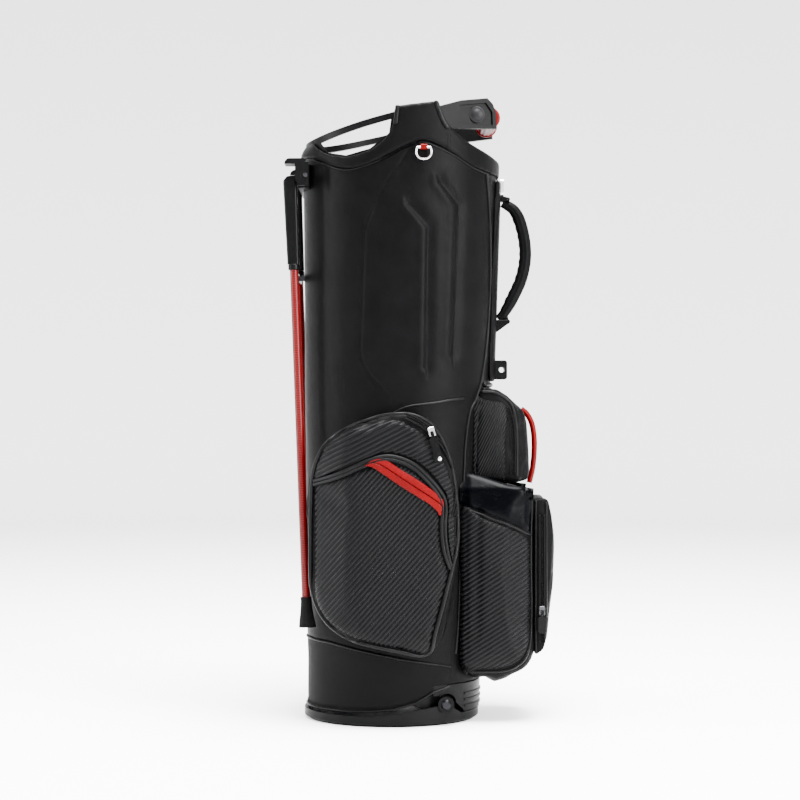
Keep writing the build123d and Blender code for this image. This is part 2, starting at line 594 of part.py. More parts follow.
def leg_head(side):
    """The moulded head that holds the tube and turns on the hinge pin, with a slot that shows the tube."""
    with BuildPart() as head:
        with BuildSketch(leg_plane(side, 0)):
            with Locations((0, -1.0)):
                RectangleRounded(15, 20, 4)
        with BuildSketch(leg_plane(side, HEAD_LENGTH)):
            with Locations((0, -0.5)):
                RectangleRounded(14, 17, 4)
        loft()
        fillet(head.edges().group_by(Axis.Z)[-1], 2.0)
        # The top outer corner is rounded off.
        with BuildSketch(Plane((0, side * LEG_Y, 0), x_dir=(1, 0, 0), z_dir=(0, -1, 0))):
            with BuildLine():
                Polyline((-157, 764), (-157, 786), (-140, 786))
                ThreePointArc((-140, 786), (-151, 779), (-157, 764))
            make_face()
        extrude(amount=12, both=True, mode=Mode.SUBTRACT)
        # Lug from the housing to the pin.
        with BuildSketch(Plane((0, side * LEG_Y, 0), x_dir=(1, 0, 0), z_dir=(0, -1, 0))):
            with BuildLine():
                Polyline((LEG_LINE_X, 778), (LEG_PIVOT_X - 2, LEG_PIVOT_Z + 6), (LEG_PIVOT_X + 4, LEG_PIVOT_Z - 2),
                         (LEG_PIVOT_X - 4, LEG_PIVOT_Z - 12), (LEG_LINE_X + 6, 745), (LEG_LINE_X, 745), close=True)
            make_face()
        extrude(amount=5, both=True)
        with Locations(pin_plane(side)):
            Cylinder(6.5, 16)
            Cylinder(3.0 + RUNNING_GAP, 40, mode=Mode.SUBTRACT)
        with BuildSketch(leg_plane(side, LEG_TUBE_START)):
            Circle(LEG_TUBE_R)
        extrude(amount=HEAD_LENGTH, mode=Mode.SUBTRACT)
        slot_plane = leg_plane(side, 40)
        with BuildSketch(slot_plane):
            with Locations((0, 12)):
                Rectangle(4.4, 14)
        extrude(amount=HEAD_LENGTH - 50, mode=Mode.SUBTRACT)
    return head.part


def leg_tube(side):
    """The carbon tube of one leg."""
    with BuildPart() as tube:
        with BuildSketch(leg_plane(side, LEG_TUBE_START)):
            Circle(LEG_TUBE_R)
            Circle(LEG_TUBE_BORE_R, mode=Mode.SUBTRACT)
        extrude(amount=LEG_TUBE_END - LEG_TUBE_START)
    return tube.part


def leg_collar(side):
    """Clamp ring where the tube leaves the head."""
    with BuildPart() as collar:
        with BuildSketch(leg_plane(side, HEAD_LENGTH + 0.3)):
            Circle(LEG_TUBE_R + 2.2)
            Circle(LEG_TUBE_R, mode=Mode.SUBTRACT)
        extrude(amount=8)
        chamfer(collar.edges().filter_by(GeomType.CIRCLE).sort_by(SortBy.RADIUS)[-2:], 0.8)
    return collar.part


def leg_foot(side):
    """Flared rubber foot, cut so that it lies flat once the leg is swung out."""
    with BuildPart() as foot:
        with BuildSketch(leg_plane(side, LEG_TUBE_END - 16)):
            Circle(LEG_TUBE_R + 2)
        with BuildSketch(leg_plane(side, LEG_TUBE_END)):
            Circle(LEG_TUBE_R + 2.6)
        with BuildSketch(leg_plane(side, LEG_TUBE_END + 20)):
            with Locations((0, 0.4)):
                Ellipse(10.5, 11.5)
        with BuildSketch(leg_plane(side, LEG_TUBE_END + 27)):
            with Locations((0, 0.8)):
                Ellipse(11, 12.6)
        loft()
        with BuildSketch(leg_plane(side, LEG_TUBE_END - 17)):
            Circle(LEG_TUBE_R)
        extrude(amount=17, mode=Mode.SUBTRACT)
    return foot.part


for side, name in ((-1, "near"), (1, "far")):
    finish(f"leg_head_{name}", leg_head(side))
    finish(f"leg_tube_{name}", leg_tube(side))
    finish(f"leg_collar_{name}", leg_collar(side))
    finish(f"leg_foot_{name}", leg_foot(side))

ROD_X, ROD_R, ROD_TOP, CROSSHEAD_Z = -106.0, 3.0, 655.0, 640.0
with BuildPart() as push_rod:
    with Locations((ROD_X, 0, SOLE_TOP + 1)):
        Cylinder(ROD_R, ROD_TOP - SOLE_TOP - 1, align=(Align.CENTER, Align.CENTER, Align.MIN))
    # Arm through the slot, and the crosshead behind both legs.
    with Locations((ROD_X, 0, CROSSHEAD_Z)):
        Box(34, 8, 8, align=(Align.MAX, Align.CENTER, Align.CENTER))
    with Locations((-138, 0, CROSSHEAD_Z)):
        Box(7, 2 * 59, 10)
    fillet(push_rod.edges().group_by(Axis.X)[0], 2.0)
finish("push_rod", push_rod.part)

# ---------------------------------------------------------------- side pockets
with BuildSketch(Plane.XZ) as pocket_outline:
    with BuildLine():
        Spline(
            (-121, 290), (-118, 350), (-98, 396), (-57, 427), (0, 446), (40, 444), (72, 415), (90, 369),
            (98, 310), (97, 240), (84, 165), (66, 112), (40, 99), (-15, 108), (-63, 128), (-98, 156),
            (-116, 200),
            periodic=True,
        )
    make_face()

with BuildSketch(Plane.XZ) as overlay_outline:
    with BuildLine():
        Spline(
            (-109, 320), (-98, 345), (-70, 361), (-38, 374), (-12, 383), (10, 382), (34, 371), (54, 353),
            (69, 333), (77, 305), (79, 260), (78, 215), (64, 150), (40, 110), (-15, 120), (-60, 140),
            (-92, 166), (-107, 205), (-112, 265),
            periodic=True,
        )
    make_face()

lip_outline = side_outline(
    (-38, 370), (-26, 377), (-12, 379), (40, 349), (66, 330), (72, 320), (69, 302), (53, 317), (-12, 359),
)

# The zip runs on an arc round the pocket's upper rear corner.
ZIP_START, ZIP_MIDDLE, ZIP_END = (20, 440), (76, 395), (88, 300)
with BuildLine():
    zip_arc = ThreePointArc(ZIP_START, ZIP_MIDDLE, ZIP_END)
ZIP_CENTRE_X, ZIP_CENTRE_Z, ZIP_R = zip_arc.arc_center.X, zip_arc.arc_center.Y, zip_arc.radius
ZIP_FIRST = degrees(atan2(ZIP_START[1] - ZIP_CENTRE_Z, ZIP_START[0] - ZIP_CENTRE_X))
ZIP_LAST = degrees(atan2(ZIP_END[1] - ZIP_CENTRE_Z, ZIP_END[0] - ZIP_CENTRE_X))
SLIDER_ANGLE = ZIP_FIRST - 22.0


def pocket_plan(grow):
    """Plan of the near pocket: flat along the side and rounded towards the legs, grown by grow mm."""
    with BuildSketch(Plane.XY.offset(60)) as plan:
        with Locations((-40, -60)):
            Ellipse(92 + grow, POCKET_FACE_Y - 60 + grow)
            Rectangle(170, POCKET_FACE_Y - 60 + grow, align=(Align.MIN, Align.MAX))
            Rectangle(400, 200, align=(Align.CENTER, Align.MAX), mode=Mode.INTERSECT)
    return plan.sketch


def near_layer(sketch, inner, outer):
    """A side outline cut out of the layer between two growths of the pocket's plan."""
    with BuildPart() as piece:
        extrude(pocket_plan(outer), amount=420)
        if inner is not None:
            extrude(pocket_plan(inner), amount=420, mode=Mode.SUBTRACT)
        extrude(sketch, amount=WIDE, mode=Mode.INTERSECT)
    return piece.part


with BuildPart() as pocket_body:
    add(near_layer(pocket_outline.sketch, None, -FACE_THICK))
    add(oval_core(0, 50, 500), mode=Mode.SUBTRACT)
    # Room for the leg that hangs beside it.
    with Locations((-130, -60, 300)):
        Box(80, 2 * (POCKET_INNER_Y - 60), 500, mode=Mode.SUBTRACT)
    with Locations((0, 0, 300)):
        Box(400, 2 * 50, 600, mode=Mode.SUBTRACT)

with BuildPart() as pocket_face:
    add(near_layer(pocket_outline.sketch, -FACE_THICK, 0))
    with Locations((-130, -60, 300)):
        Box(80, 2 * (POCKET_INNER_Y - 60), 500, mode=Mode.SUBTRACT)
    with Locations((0, 0, 300)):
        Box(400, 2 * 50, 600, mode=Mode.SUBTRACT)

with BuildPart() as quick_pocket:
    add(near_layer(overlay_outline.sketch, 0, 2.5))

with BuildPart() as quick_pocket_lip:
    add(near_layer(lip_outline, 2.5, 5.0))

with BuildPart() as pocket_zip:
    with BuildSketch(Plane.XZ) as zip_band:
        with Locations((ZIP_CENTRE_X, ZIP_CENTRE_Z)):
            Circle(ZIP_R + 4)
            Circle(ZIP_R - 4, mode=Mode.SUBTRACT)
        with BuildLine():
            reach = 2 * ZIP_R
            middle = (ZIP_FIRST + ZIP_LAST) / 2
            corners = [
                (ZIP_CENTRE_X + reach * cos(radians(angle)), ZIP_CENTRE_Z + reach * sin(radians(angle)))
                for angle in (ZIP_FIRST, middle, ZIP_LAST)
            ]
            Polyline((ZIP_CENTRE_X, ZIP_CENTRE_Z), *corners, close=True)
        make_face(mode=Mode.INTERSECT)
    add(near_layer(zip_band.sketch, 0, 1.5))
    add(quick_pocket.part, mode=Mode.SUBTRACT)


def zip_slider(frame):
    """A zip slider whose base lies on the frame's plane, running along the frame's Y, with a pin for its pull."""
    with BuildPart() as slider:
        with BuildSketch(frame):
            RectangleRounded(9, 13, 2)
        extrude(amount=2.2)
        chamfer(slider.faces().sort_by(Axis(frame.origin, frame.z_dir))[-1].edges(), 0.5)
        for ear_x in (-3.4, 3.4):
            with Locations(frame * Location((ear_x, -2, 2.0))):
                Box(1.4, 4.4, PULL_HEIGHT, align=(Align.CENTER, Align.CENTER, Align.MIN))
        with Locations(frame * Location((0, -2, PULL_HEIGHT), (0, 90, 0))):
            Cylinder(0.9, 8)
    return slider.part


def zip_pull(frame, angle, length):
    """A pull tab that hangs from the slider's pin, turned by angle in the frame's plane."""
    with BuildPart() as pull:
        hang = frame * Location((0, -2, PULL_HEIGHT))
        with BuildSketch(Plane(hang)):
            Circle(2.6)
            Rectangle(4.6, 10, align=(Align.CENTER, Align.MAX))
        extrude(amount=1.2, both=True)
        tab = Plane(hang * Location((0, -7, 0), (0, 0, angle)))
        with BuildSketch(tab):
            with Locations((0, -length / 2 + 4)):
                RectangleRounded(11, length - 6, 3.5)
        extrude(amount=1.5, both=True)
        with Locations(hang * Location((0, 0, 0), (0, 90, 0))):
            Cylinder(0.9 + RUNNING_GAP, 20, mode=Mode.SUBTRACT)
    return pull.part


def near_frame(x, z, out, turn=0.0):
    """A working plane on the near side that faces out (-Y), turned by turn degrees about its normal."""
    across = (cos(radians(turn)), 0, sin(radians(turn)))
    return Plane((x, -out, z), x_dir=across, z_dir=(0, -1, 0))


slider_x = ZIP_CENTRE_X + ZIP_R * cos(radians(SLIDER_ANGLE))
slider_z = ZIP_CENTRE_Z + ZIP_R * sin(radians(SLIDER_ANGLE))
slider_frame = near_frame(slider_x, slider_z, POCKET_FACE_Y + 1.7, 14.0)
side_slider = zip_slider(slider_frame)
side_pull = zip_pull(slider_frame, 0.0, 42.0)

near_pieces = {
    "side_pocket": pocket_body.part, "side_pocket_face": pocket_face.part, "quick_pocket": quick_pocket.part,
    "quick_pocket_lip": quick_pocket_lip.part, "side_zip": pocket_zip.part, "side_zip_slider": side_slider,
    "side_zip_pull": side_pull,
}
for base_name, piece in near_pieces.items():
    finish(f"{base_name}_near", piece)
    with BuildPart() as other_side:
        mirror(piece, about=Plane.XZ)
    finish(f"{base_name}_far", other_side.part)

# ---------------------------------------------------------------- rear pockets
REAR_LOW, REAR_HALF, REAR_CORNER = 72.0, 84.0, 22.0
with BuildPart() as rear_pocket:
    with BuildSketch(Plane.XZ):
        with BuildLine():
            Polyline((104, 342), (104, REAR_LOW), (REAR_FACE_X - 24, REAR_LOW))
            RadiusArc((REAR_FACE_X - 24, REAR_LOW), (REAR_FACE_X, REAR_LOW + 24), -24)
            Polyline((REAR_FACE_X, REAR_LOW + 24), (REAR_FACE_X, 322), (196, 336), (104, 342))
        make_face()
    extrude(amount=REAR_HALF, both=True)
    fillet(rear_pocket.edges().filter_by(Axis.Z).sort_by(Axis.X)[-2:], REAR_CORNER)
    add(oval_core(0, 50, 500), mode=Mode.SUBTRACT)
    # Clear of the side pockets.
    for side in (-1, 1):
        with Locations((70, side * (POCKET_INNER_Y + 50), 300)):
            Box(70, 100, 500, mode=Mode.SUBTRACT)
finish("rear_pocket", rear_pocket.part)

VALUABLES_HALF = 62.0
with BuildPart() as valuables_pocket:
    with BuildSketch(Plane.XZ):
        with BuildLine():
            Polyline((104, 343), (104, 478), (152, 481), (184, 450), (188, 343), close=True)
        make_face()
    extrude(amount=VALUABLES_HALF, both=True)
    add(oval_core(0, 50, 500), mode=Mode.SUBTRACT)
    add(rear_pocket.part, mode=Mode.SUBTRACT)
finish("valuables_pocket", valuables_pocket.part)

with BuildPart() as valuables_panel:
    with BuildSketch(Plane.XZ):
        with BuildLine():
            Polyline((184.6, 450), (188.8, 343), (199, 343), (194, 440), (189, 450), close=True)
        make_face()
    extrude(amount=50, both=True)
finish("valuables_panel", valuables_panel.part)

with BuildPart() as valuables_loop:
    with BuildLine() as loop_path:
        ThreePointArc((193.5, 0, 444), (209.5, 0, 400), (197.5, 0, 346))
    with BuildSketch(Plane(origin=loop_path.line @ 0, z_dir=loop_path.line % 0)):
        Circle(3.4)
    sweep()
    add(valuables_panel.part, mode=Mode.SUBTRACT)
    with Locations((200, 0, 330)):
        Box(40, 20, 17, mode=Mode.SUBTRACT)
finish("valuables_loop", valuables_loop.part)

BALL_LOW, BALL_HIGH, BALL_HALF, BALL_FACE_X = 92.0, 322.0, 62.0, 233.5
with BuildPart() as ball_pocket:
    with BuildSketch(Plane.XZ):
        with BuildLine():
            Line((REAR_FACE_X + 0.01, BALL_LOW), (REAR_FACE_X + 0.01, BALL_HIGH))
            Line((REAR_FACE_X + 0.01, BALL_HIGH), (REAR_FACE_X + 22, BALL_HIGH))
            Spline((REAR_FACE_X + 22, BALL_HIGH), (BALL_FACE_X - 1, 290), (BALL_FACE_X, 240), (BALL_FACE_X - 4, 175),
                   (REAR_FACE_X + 16, BALL_LOW + 10))
            Line((REAR_FACE_X + 16, BALL_LOW + 10), (REAR_FACE_X + 0.01, BALL_LOW))
        make_face()
    extrude(amount=BALL_HALF, both=True)
finish("ball_pocket", ball_pocket.part)

# Ball pocket zip: an upright coil zip on each side wall.
with BuildPart() as ball_zip:
    for side in (-1, 1):
        with Locations((REAR_FACE_X + 12, side * (BALL_HALF + 0.75), (BALL_LOW + BALL_HIGH) / 2)):
            Box(9, 1.5, 190)
finish("ball_zip", ball_zip.part)

BALL_SLIDER_Z = 160.0
ball_frame = near_frame(REAR_FACE_X + 12, BALL_SLIDER_Z, BALL_HALF + 1.7)
finish("ball_zip_slider", zip_slider(ball_frame))
finish("ball_zip_pull", zip_pull(ball_frame, 0.0, 30.0))

# ---------------------------------------------------------------- export
os.makedirs("parts", exist_ok=True)
for name, part in finished.items():
    part.label = name
    export_step(part, f"parts/{name}.step")
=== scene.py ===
"""Looks of the golf stand bag: soft leather pieces, piping, stitching and materials around the CAD frame."""
from math import cos, exp, hypot, pi, radians, sin, sqrt

import bmesh
import bpy
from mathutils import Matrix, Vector, noise
from mathutils.bvhtree import BVHTree


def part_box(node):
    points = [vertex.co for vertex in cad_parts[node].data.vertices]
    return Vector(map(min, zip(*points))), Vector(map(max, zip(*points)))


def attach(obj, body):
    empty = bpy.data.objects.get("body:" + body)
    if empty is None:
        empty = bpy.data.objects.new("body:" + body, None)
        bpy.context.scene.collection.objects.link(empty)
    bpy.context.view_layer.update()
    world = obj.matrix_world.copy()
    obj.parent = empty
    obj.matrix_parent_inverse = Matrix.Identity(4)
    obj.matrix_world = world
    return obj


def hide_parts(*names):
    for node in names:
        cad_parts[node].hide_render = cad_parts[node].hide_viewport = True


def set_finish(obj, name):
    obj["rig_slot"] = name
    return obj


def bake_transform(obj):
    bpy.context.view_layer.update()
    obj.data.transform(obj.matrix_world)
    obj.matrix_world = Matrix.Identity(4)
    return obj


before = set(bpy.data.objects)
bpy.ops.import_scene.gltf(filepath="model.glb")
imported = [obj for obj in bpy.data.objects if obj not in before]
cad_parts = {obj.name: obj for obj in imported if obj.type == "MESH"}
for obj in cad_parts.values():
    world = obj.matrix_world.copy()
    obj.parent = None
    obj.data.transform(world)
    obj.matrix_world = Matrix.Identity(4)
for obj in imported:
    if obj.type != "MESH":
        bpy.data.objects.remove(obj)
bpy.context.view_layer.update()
NEAR, FAR = -1, 1  # the bag's two sides, as signs of Y

# The trunk's taper, as the CAD has it: centre, half length and half width at two heights, in metres.
LOW_Z, HIGH_Z = 0.040, 0.820
CENTRE = (0.0030, 0.0125)
HALF_LENGTH = (0.126, 0.142)
HALF_WIDTH = (0.106, 0.116)


def mm(*points):
    """Points given in millimetres, in metres."""
    return [tuple(value * 0.001 for value in point) for point in points]


# ---------------------------------------------------------------- materials
class Shader:
    """A material's node tree with short ways to add nodes."""

    def __init__(self, name, colour, roughness, metallic=0.0, specular=0.5, coat=0.0, sheen=0.0):
        self.material = bpy.data.materials.new(name)
        self.material.use_nodes = True
        self.tree = self.material.node_tree
        self.bsdf = self.tree.nodes["Principled BSDF"]
        self.bsdf.inputs["Base Color"].default_value = (*colour, 1)
        self.bsdf.inputs["Roughness"].default_value = roughness
        self.bsdf.inputs["Metallic"].default_value = metallic
        self.bsdf.inputs["Specular IOR Level"].default_value = specular
        self.bsdf.inputs["Coat Weight"].default_value = coat
        self.bsdf.inputs["Coat Roughness"].default_value = 0.15
        self.bsdf.inputs["Sheen Weight"].default_value = sheen
        self.bsdf.inputs["Sheen Roughness"].default_value = 0.4
        self.colour, self.roughness = colour, roughness
        self.place = self.node("ShaderNodeTexCoord").outputs["Object"]
        self.heights = []

    def node(self, kind, **settings):
        made = self.tree.nodes.new(kind)
        for key, value in settings.items():
            setattr(made, key, value)
        return made

    def join(self, source, target):
        self.tree.links.new(source, target)

    def maths(self, operation, first, second=0.0):
        made = self.node("ShaderNodeMath", operation=operation)
        for socket, value in zip(made.inputs, (first, second)):
            if isinstance(value, (int, float)):
                socket.default_value = value
            else:
                self.join(value, socket)
        return made.outputs[0]

    def noise(self, scale, detail=3.0):
        made = self.node("ShaderNodeTexNoise")
        made.inputs["Scale"].default_value = scale
        made.inputs["Detail"].default_value = detail
        self.join(self.place, made.inputs["Vector"])
        return made.outputs["Fac"]

    def cells(self, scale):
        made = self.node("ShaderNodeTexVoronoi", feature="F1")
        made.inputs["Scale"].default_value = scale
        self.join(self.place, made.inputs["Vector"])
        return made.outputs["Distance"]

    def waves(self, direction, period):
        """Ridges from 0 to 1, across a direction and a period in metres apart."""
        dot = self.node("ShaderNodeVectorMath", operation="DOT_PRODUCT")
        dot.inputs[1].default_value = direction
        self.join(self.place, dot.inputs[0])
        phase = self.maths("MULTIPLY", dot.outputs["Value"], 2 * pi / period)
        return self.maths("MULTIPLY_ADD", self.maths("SINE", phase), 0.5)

    def spread(self, factor, low, high):
        """A factor from 0 to 1 stretched to run from low to high."""
        made = self.node("ShaderNodeMapRange")
        made.inputs["To Min"].default_value = low
        made.inputs["To Max"].default_value = high
        self.join(factor, made.inputs["Value"])
        return made.outputs["Result"]

    def tint(self, factor, dark, light):
        """Varies the base colour between two multiples of itself."""
        ramp = self.node("ShaderNodeValToRGB")
        ramp.color_ramp.elements[0].position = 0.3
        ramp.color_ramp.elements[1].position = 0.7
        ramp.color_ramp.elements[0].color = (*[c * dark for c in self.colour], 1)
        ramp.color_ramp.elements[1].color = (*[min(1, c * light) for c in self.colour], 1)
        self.join(factor, ramp.inputs["Fac"])
        self.join(ramp.outputs["Color"], self.bsdf.inputs["Base Color"])

    def rough(self, factor, amount):
        varied = self.spread(factor, self.roughness - amount, self.roughness + amount)
        self.join(varied, self.bsdf.inputs["Roughness"])

    def bump(self, factor, depth):
        """Adds relief of a depth in metres on top of the relief already there."""
        made = self.node("ShaderNodeBump")
        made.inputs["Distance"].default_value = depth
        made.inputs["Strength"].default_value = 1.0
        self.join(factor, made.inputs["Height"])
        if self.heights:
            self.join(self.heights[-1], made.inputs["Normal"])
        self.heights.append(made.outputs["Normal"])
        self.join(made.outputs["Normal"], self.bsdf.inputs["Normal"])


def leather(name, colour=(0.0009, 0.00087, 0.00097), roughness=0.43, grain=0.00006, specular=0.022):
    shader = Shader(name, colour, roughness, specular=specular)
    shader.tint(shader.noise(28, 4), 0.8, 1.3)
    shader.rough(shader.noise(60, 3), 0.06)
    shader.bump(shader.noise(35, 2), 0.0006)
    shader.bump(shader.cells(1100), grain)
    shader.bump(shader.noise(2600, 2), grain * 0.6)
    return shader.material


def twill(name, angle, period, colour=(0.0008, 0.0008, 0.00092), roughness=0.33):
    """Leather embossed with a woven twill: ridges at an angle above the horizontal, and cross threads; its
    base colour is painted darker in the grooves and lighter on the ridge tops, as painted shade and painted
    highlight.
    """
    shader = Shader(name, colour, roughness, specular=0.04)
    rise, run = sin(radians(angle)), cos(radians(angle))
    ridges = shader.waves((-rise, 0, run), period)
    threads = shader.waves((run, 0.6, rise), period * 0.3)
    crossing = shader.maths("MULTIPLY", threads, 0.2)
    relief = shader.maths("ADD", shader.maths("MULTIPLY", ridges, 0.8), crossing)
    # painted shade and painted highlight: the base colour follows the embossed relief, from 0.1 times in the
    # grooves up to 2.6 times on the ridge tops
    shader.tint(relief, 0.1, 2.6)
    shader.rough(shader.maths("SUBTRACT", 1.0, ridges), 0.10)
    shader.bump(shader.noise(30, 2), 0.0006)
    shader.bump(relief, 0.0009)
    shader.bump(shader.noise(2400, 2), 0.00004)
    return shader.material


def moulded(name, colour=(0.0011, 0.0011, 0.0012), roughness=0.38, specular=0.035, coat=0.0):
    shader = Shader(name, colour, roughness, specular=specular, coat=coat)
    shader.tint(shader.noise(45, 3), 0.85, 1.25)
    shader.rough(shader.noise(90, 3), 0.05)
    shader.bump(shader.noise(1500, 3), 0.00005)
    return shader.material


def woven(name, colour, roughness=0.8, period=0.0011, depth=0.0002, sheen=0.3):
    shader = Shader(name, colour, roughness, specular=0.03, sheen=sheen)
    warp = shader.waves((0.7, 0.7, 0.7), period)
    weft = shader.waves((0.7, 0.7, -0.7), period)
    shader.tint(shader.noise(260, 4), 0.85, 1.18)
    shader.bump(shader.noise(40, 2), 0.0004)
    shader.bump(shader.maths("MULTIPLY", warp, weft), depth)
    return shader.material


def carbon_tube(name, colour):
    """Coloured carbon weave under a clear coat."""
    shader = Shader(name, colour, 0.32, specular=0.10, coat=0.05)
    first = shader.waves((0.0, 0.9, 1.0), 0.0034)
    second = shader.waves((0.0, -0.9, 1.0), 0.0034)
    weave = shader.maths("MULTIPLY", first, second)
    shader.tint(weave, 0.55, 1.35)
    shader.rough(shader.noise(200), 0.05)
    shader.bump(weave, 0.00012)
    return shader.material


def metal(name, colour, roughness=0.28):
    shader = Shader(name, colour, roughness, metallic=1.0)
    shader.tint(shader.noise(120, 4), 0.85, 1.1)
    shader.rough(shader.noise(400, 4), 0.08)
    shader.bump(shader.noise(900, 3), 0.00003)
    return shader.material


BLACK_LEATHER = leather("black_leather")
SOFT_LEATHER = leather("soft_leather", roughness=0.52, grain=0.00008)
GLOSS_LEATHER = leather("gloss_leather", colour=(0.0001, 0.0002, 0.0004), roughness=0.26, grain=0.00002,
                        specular=0.02)
PIPING_LEATHER = leather("piping_leather", colour=(0.0014, 0.0014, 0.0015), roughness=0.36, grain=0.00004,
                         specular=0.05)
RED_LEATHER = leather("red_leather", colour=(0.050, 0.0001, 0.0004), roughness=0.32, grain=0.00005,
                      specular=0.05)
RED_MESH = woven("red_mesh", (0.065, 0.0005, 0.0012), roughness=0.6, period=0.0016, depth=0.0004, sheen=0.0)
TWILL_STEEP = twill("twill_steep", 48, 0.0056)
TWILL_LOW = twill("twill_low", 27, 0.0062)
TWILL_REAR = twill("twill_rear", 33, 0.0058)
TWILL_FINE = twill("twill_fine", 64, 0.0034)
NEOPRENE = woven("skirt_neoprene", (0.0007, 0.0006, 0.0007), roughness=0.6, period=0.0009, depth=0.00012,
                 sheen=0.001)
WEBBING = woven("webbing", (0.0014, 0.0014, 0.0014), roughness=0.7, period=0.0022, depth=0.0004, sheen=0.004)
LINING = woven("lining_fleece", (0.0018, 0.0018, 0.0020), roughness=0.9, period=0.0014, sheen=0.01)
THREAD = woven("thread", (0.0010, 0.0010, 0.0010), roughness=0.6, period=0.0007, sheen=0.0)
PLASTIC = moulded("moulded_black")
SATIN_PLASTIC = moulded("satin_black", roughness=0.3, coat=0.02)
GREY_PLASTIC = moulded("stud_grey", colour=(0.0065, 0.0065, 0.0068), roughness=0.34)
RUBBER = moulded("foot_rubber", colour=(0.0013, 0.0013, 0.0013), roughness=0.6, specular=0.03)
GRIP_RUBBER = moulded("grip_rubber", colour=(0.050, 0.0001, 0.0004), roughness=0.32, specular=0.05)
RED_TUBE = carbon_tube("red_carbon", (0.060, 0.0002, 0.0007))
STEEL = metal("dark_steel", (0.035, 0.035, 0.038), 0.3)
DARK_STEEL = metal("black_steel", (0.010, 0.010, 0.011), 0.4)
CHROME = metal("bright_chrome", (0.42, 0.42, 0.43), 0.18)
PALE_METAL = metal("pale_plate", (0.50, 0.50, 0.50), 0.35)

NODE_MATERIALS = {
    RUBBER: ("sole_tread", "leg_foot_near", "leg_foot_far"),
    PLASTIC: ("sole_plate", "base_cup", "heel_shell", "leg_bracket", "top_ring", "strap_clip"),
    SATIN_PLASTIC: ("leg_head_near", "leg_head_far", "leg_collar_near", "leg_collar_far",
                    "side_zip_pull_near", "side_zip_pull_far", "ball_zip_pull"),
    DARK_STEEL: ("pivot_bolts",),
    STEEL: ("leg_hinge_pins", "leg_springs", "push_rod", "stay_rods", "ball_zip_slider"),
    LINING: ("divider_walls", "divider_top"),
    PALE_METAL: ("strap_plate",),
    CHROME: ("towel_ring", "side_zip_slider_near", "side_zip_slider_far"),
    RED_LEATHER: ("ring_tab",),
    RED_TUBE: ("leg_tube_near", "leg_tube_far"),
}
for material, nodes in NODE_MATERIALS.items():
    for node in nodes:
        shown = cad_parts[node]
        shown.data.materials.clear()
        shown.data.materials.append(material)


# ---------------------------------------------------------------- mesh tools
def add_object(name, mesh, material, body="trunk", slot=None, replaces=()):
    made = bpy.data.objects.new(name, mesh)
    bpy.context.scene.collection.objects.link(made)
    if material is not None:
        mesh.materials.clear()
        mesh.materials.append(material)
    for polygon in mesh.polygons:
        polygon.use_smooth = True
    if body:
        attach(made, body)
    if slot:
        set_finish(made, slot)
    if replaces:
        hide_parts(*replaces)
    return made


def mesh_from(name, bm):
    mesh = bpy.data.meshes.new(name)
    bm.normal_update()
    bm.to_mesh(mesh)
    bm.free()
    return mesh


def add_rings(bm, rings):
    """Faces between closed rings of the same number of vertices."""
    for low, high in zip(rings, rings[1:]):
        for k in range(len(low)):
            n = (k + 1) % len(low)
            bm.faces.new((low[k], low[n], high[n], high[k]))


def smooth_path(points, step=0.003, closed=False):
    """A Catmull-Rom curve through the points, sampled about every step metres."""
    corners = [Vector(point) for point in points]
    count = len(corners)
    spans = count if closed else count - 1
    path = []
    for i in range(spans):
        if closed:
            before, first, last, after = (corners[(i + k) % count] for k in (-1, 0, 1, 2))
        else:
            before, first, last, after = (corners[min(max(i + k, 0), count - 1)] for k in (-1, 0, 1, 2))
        pieces = max(2, int((last - first).length / step))
        for j in range(pieces):
            t = j / pieces
            path.append(0.5 * (
                2 * first + (last - before) * t + (2 * before - 5 * first + 4 * last - after) * t**2
                + (3 * first - before - 3 * last + after) * t**3
            ))
    if not closed:
        path.append(corners[-1])
    return path


def add_tube(bm, path, radius, sides=8, closed=False, taper=0.0):
    """A round tube along a path; taper thins its ends."""
    rings = []
    side = None
    count = len(path)
    for i, point in enumerate(path):
        after = path[(i + 1) % count] if closed else path[min(i + 1, count - 1)]
        before = path[i - 1] if closed else path[max(i - 1, 0)]
        along = (after - before).normalized()
        if side is None:
            side = along.orthogonal().normalized()
        side = (side - along * side.dot(along)).normalized()
        other = along.cross(side)
        share = i / (count - 1)
        thin = 1 - taper * (abs(2 * share - 1) ** 4)
        ring = []
        for k in range(sides):
            turn = 2 * pi * k / sides
            ring.append(bm.verts.new(point + radius * thin * (side * cos(turn) + other * sin(turn))))
        rings.append(ring)
    add_rings(bm, rings + rings[:1] if closed else rings)
    if not closed:
        bm.faces.new(list(reversed(rings[0])))
        bm.faces.new(rings[-1])


def add_stitches(bm, path, length=0.0030, gap=0.0016, radius=0.00038):
    """A row of short stitches lying along a path."""
    travelled, run = 0.0, []
    for first, last in zip(path, path[1:]):
        if travelled % (length + gap) < length:
            run.append(first)
        elif len(run) > 1:
            add_tube(bm, run + [first], radius, 5, taper=0.6)
            run = []
        else:
            run = []
        travelled += (last - first).length


def softened(name, nodes, voxel, passes, swell=0.0):
    """A mesh of the CAD nodes' shape with its edges rounded by remeshing and smoothing."""
    bm = bmesh.new()
    for node in nodes:
        bm.from_mesh(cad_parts[node].data)
    mesh = mesh_from(name, bm)
    temporary = bpy.data.objects.new(name + "_raw", mesh)
    bpy.context.scene.collection.objects.link(temporary)
    remesh = temporary.modifiers.new("remesh", "REMESH")
    remesh.mode, remesh.voxel_size = "VOXEL", voxel
    relax = temporary.modifiers.new("relax", "SMOOTH")
    relax.factor, relax.iterations = 0.5, passes
    if swell:
        push = temporary.modifiers.new("push", "DISPLACE")
        push.strength, push.mid_level = swell, 0.0
    evaluated = temporary.evaluated_get(bpy.context.evaluated_depsgraph_get())
    result = bpy.data.meshes.new_from_object(evaluated)
    result.name = name
    bpy.data.objects.remove(temporary)
    return result


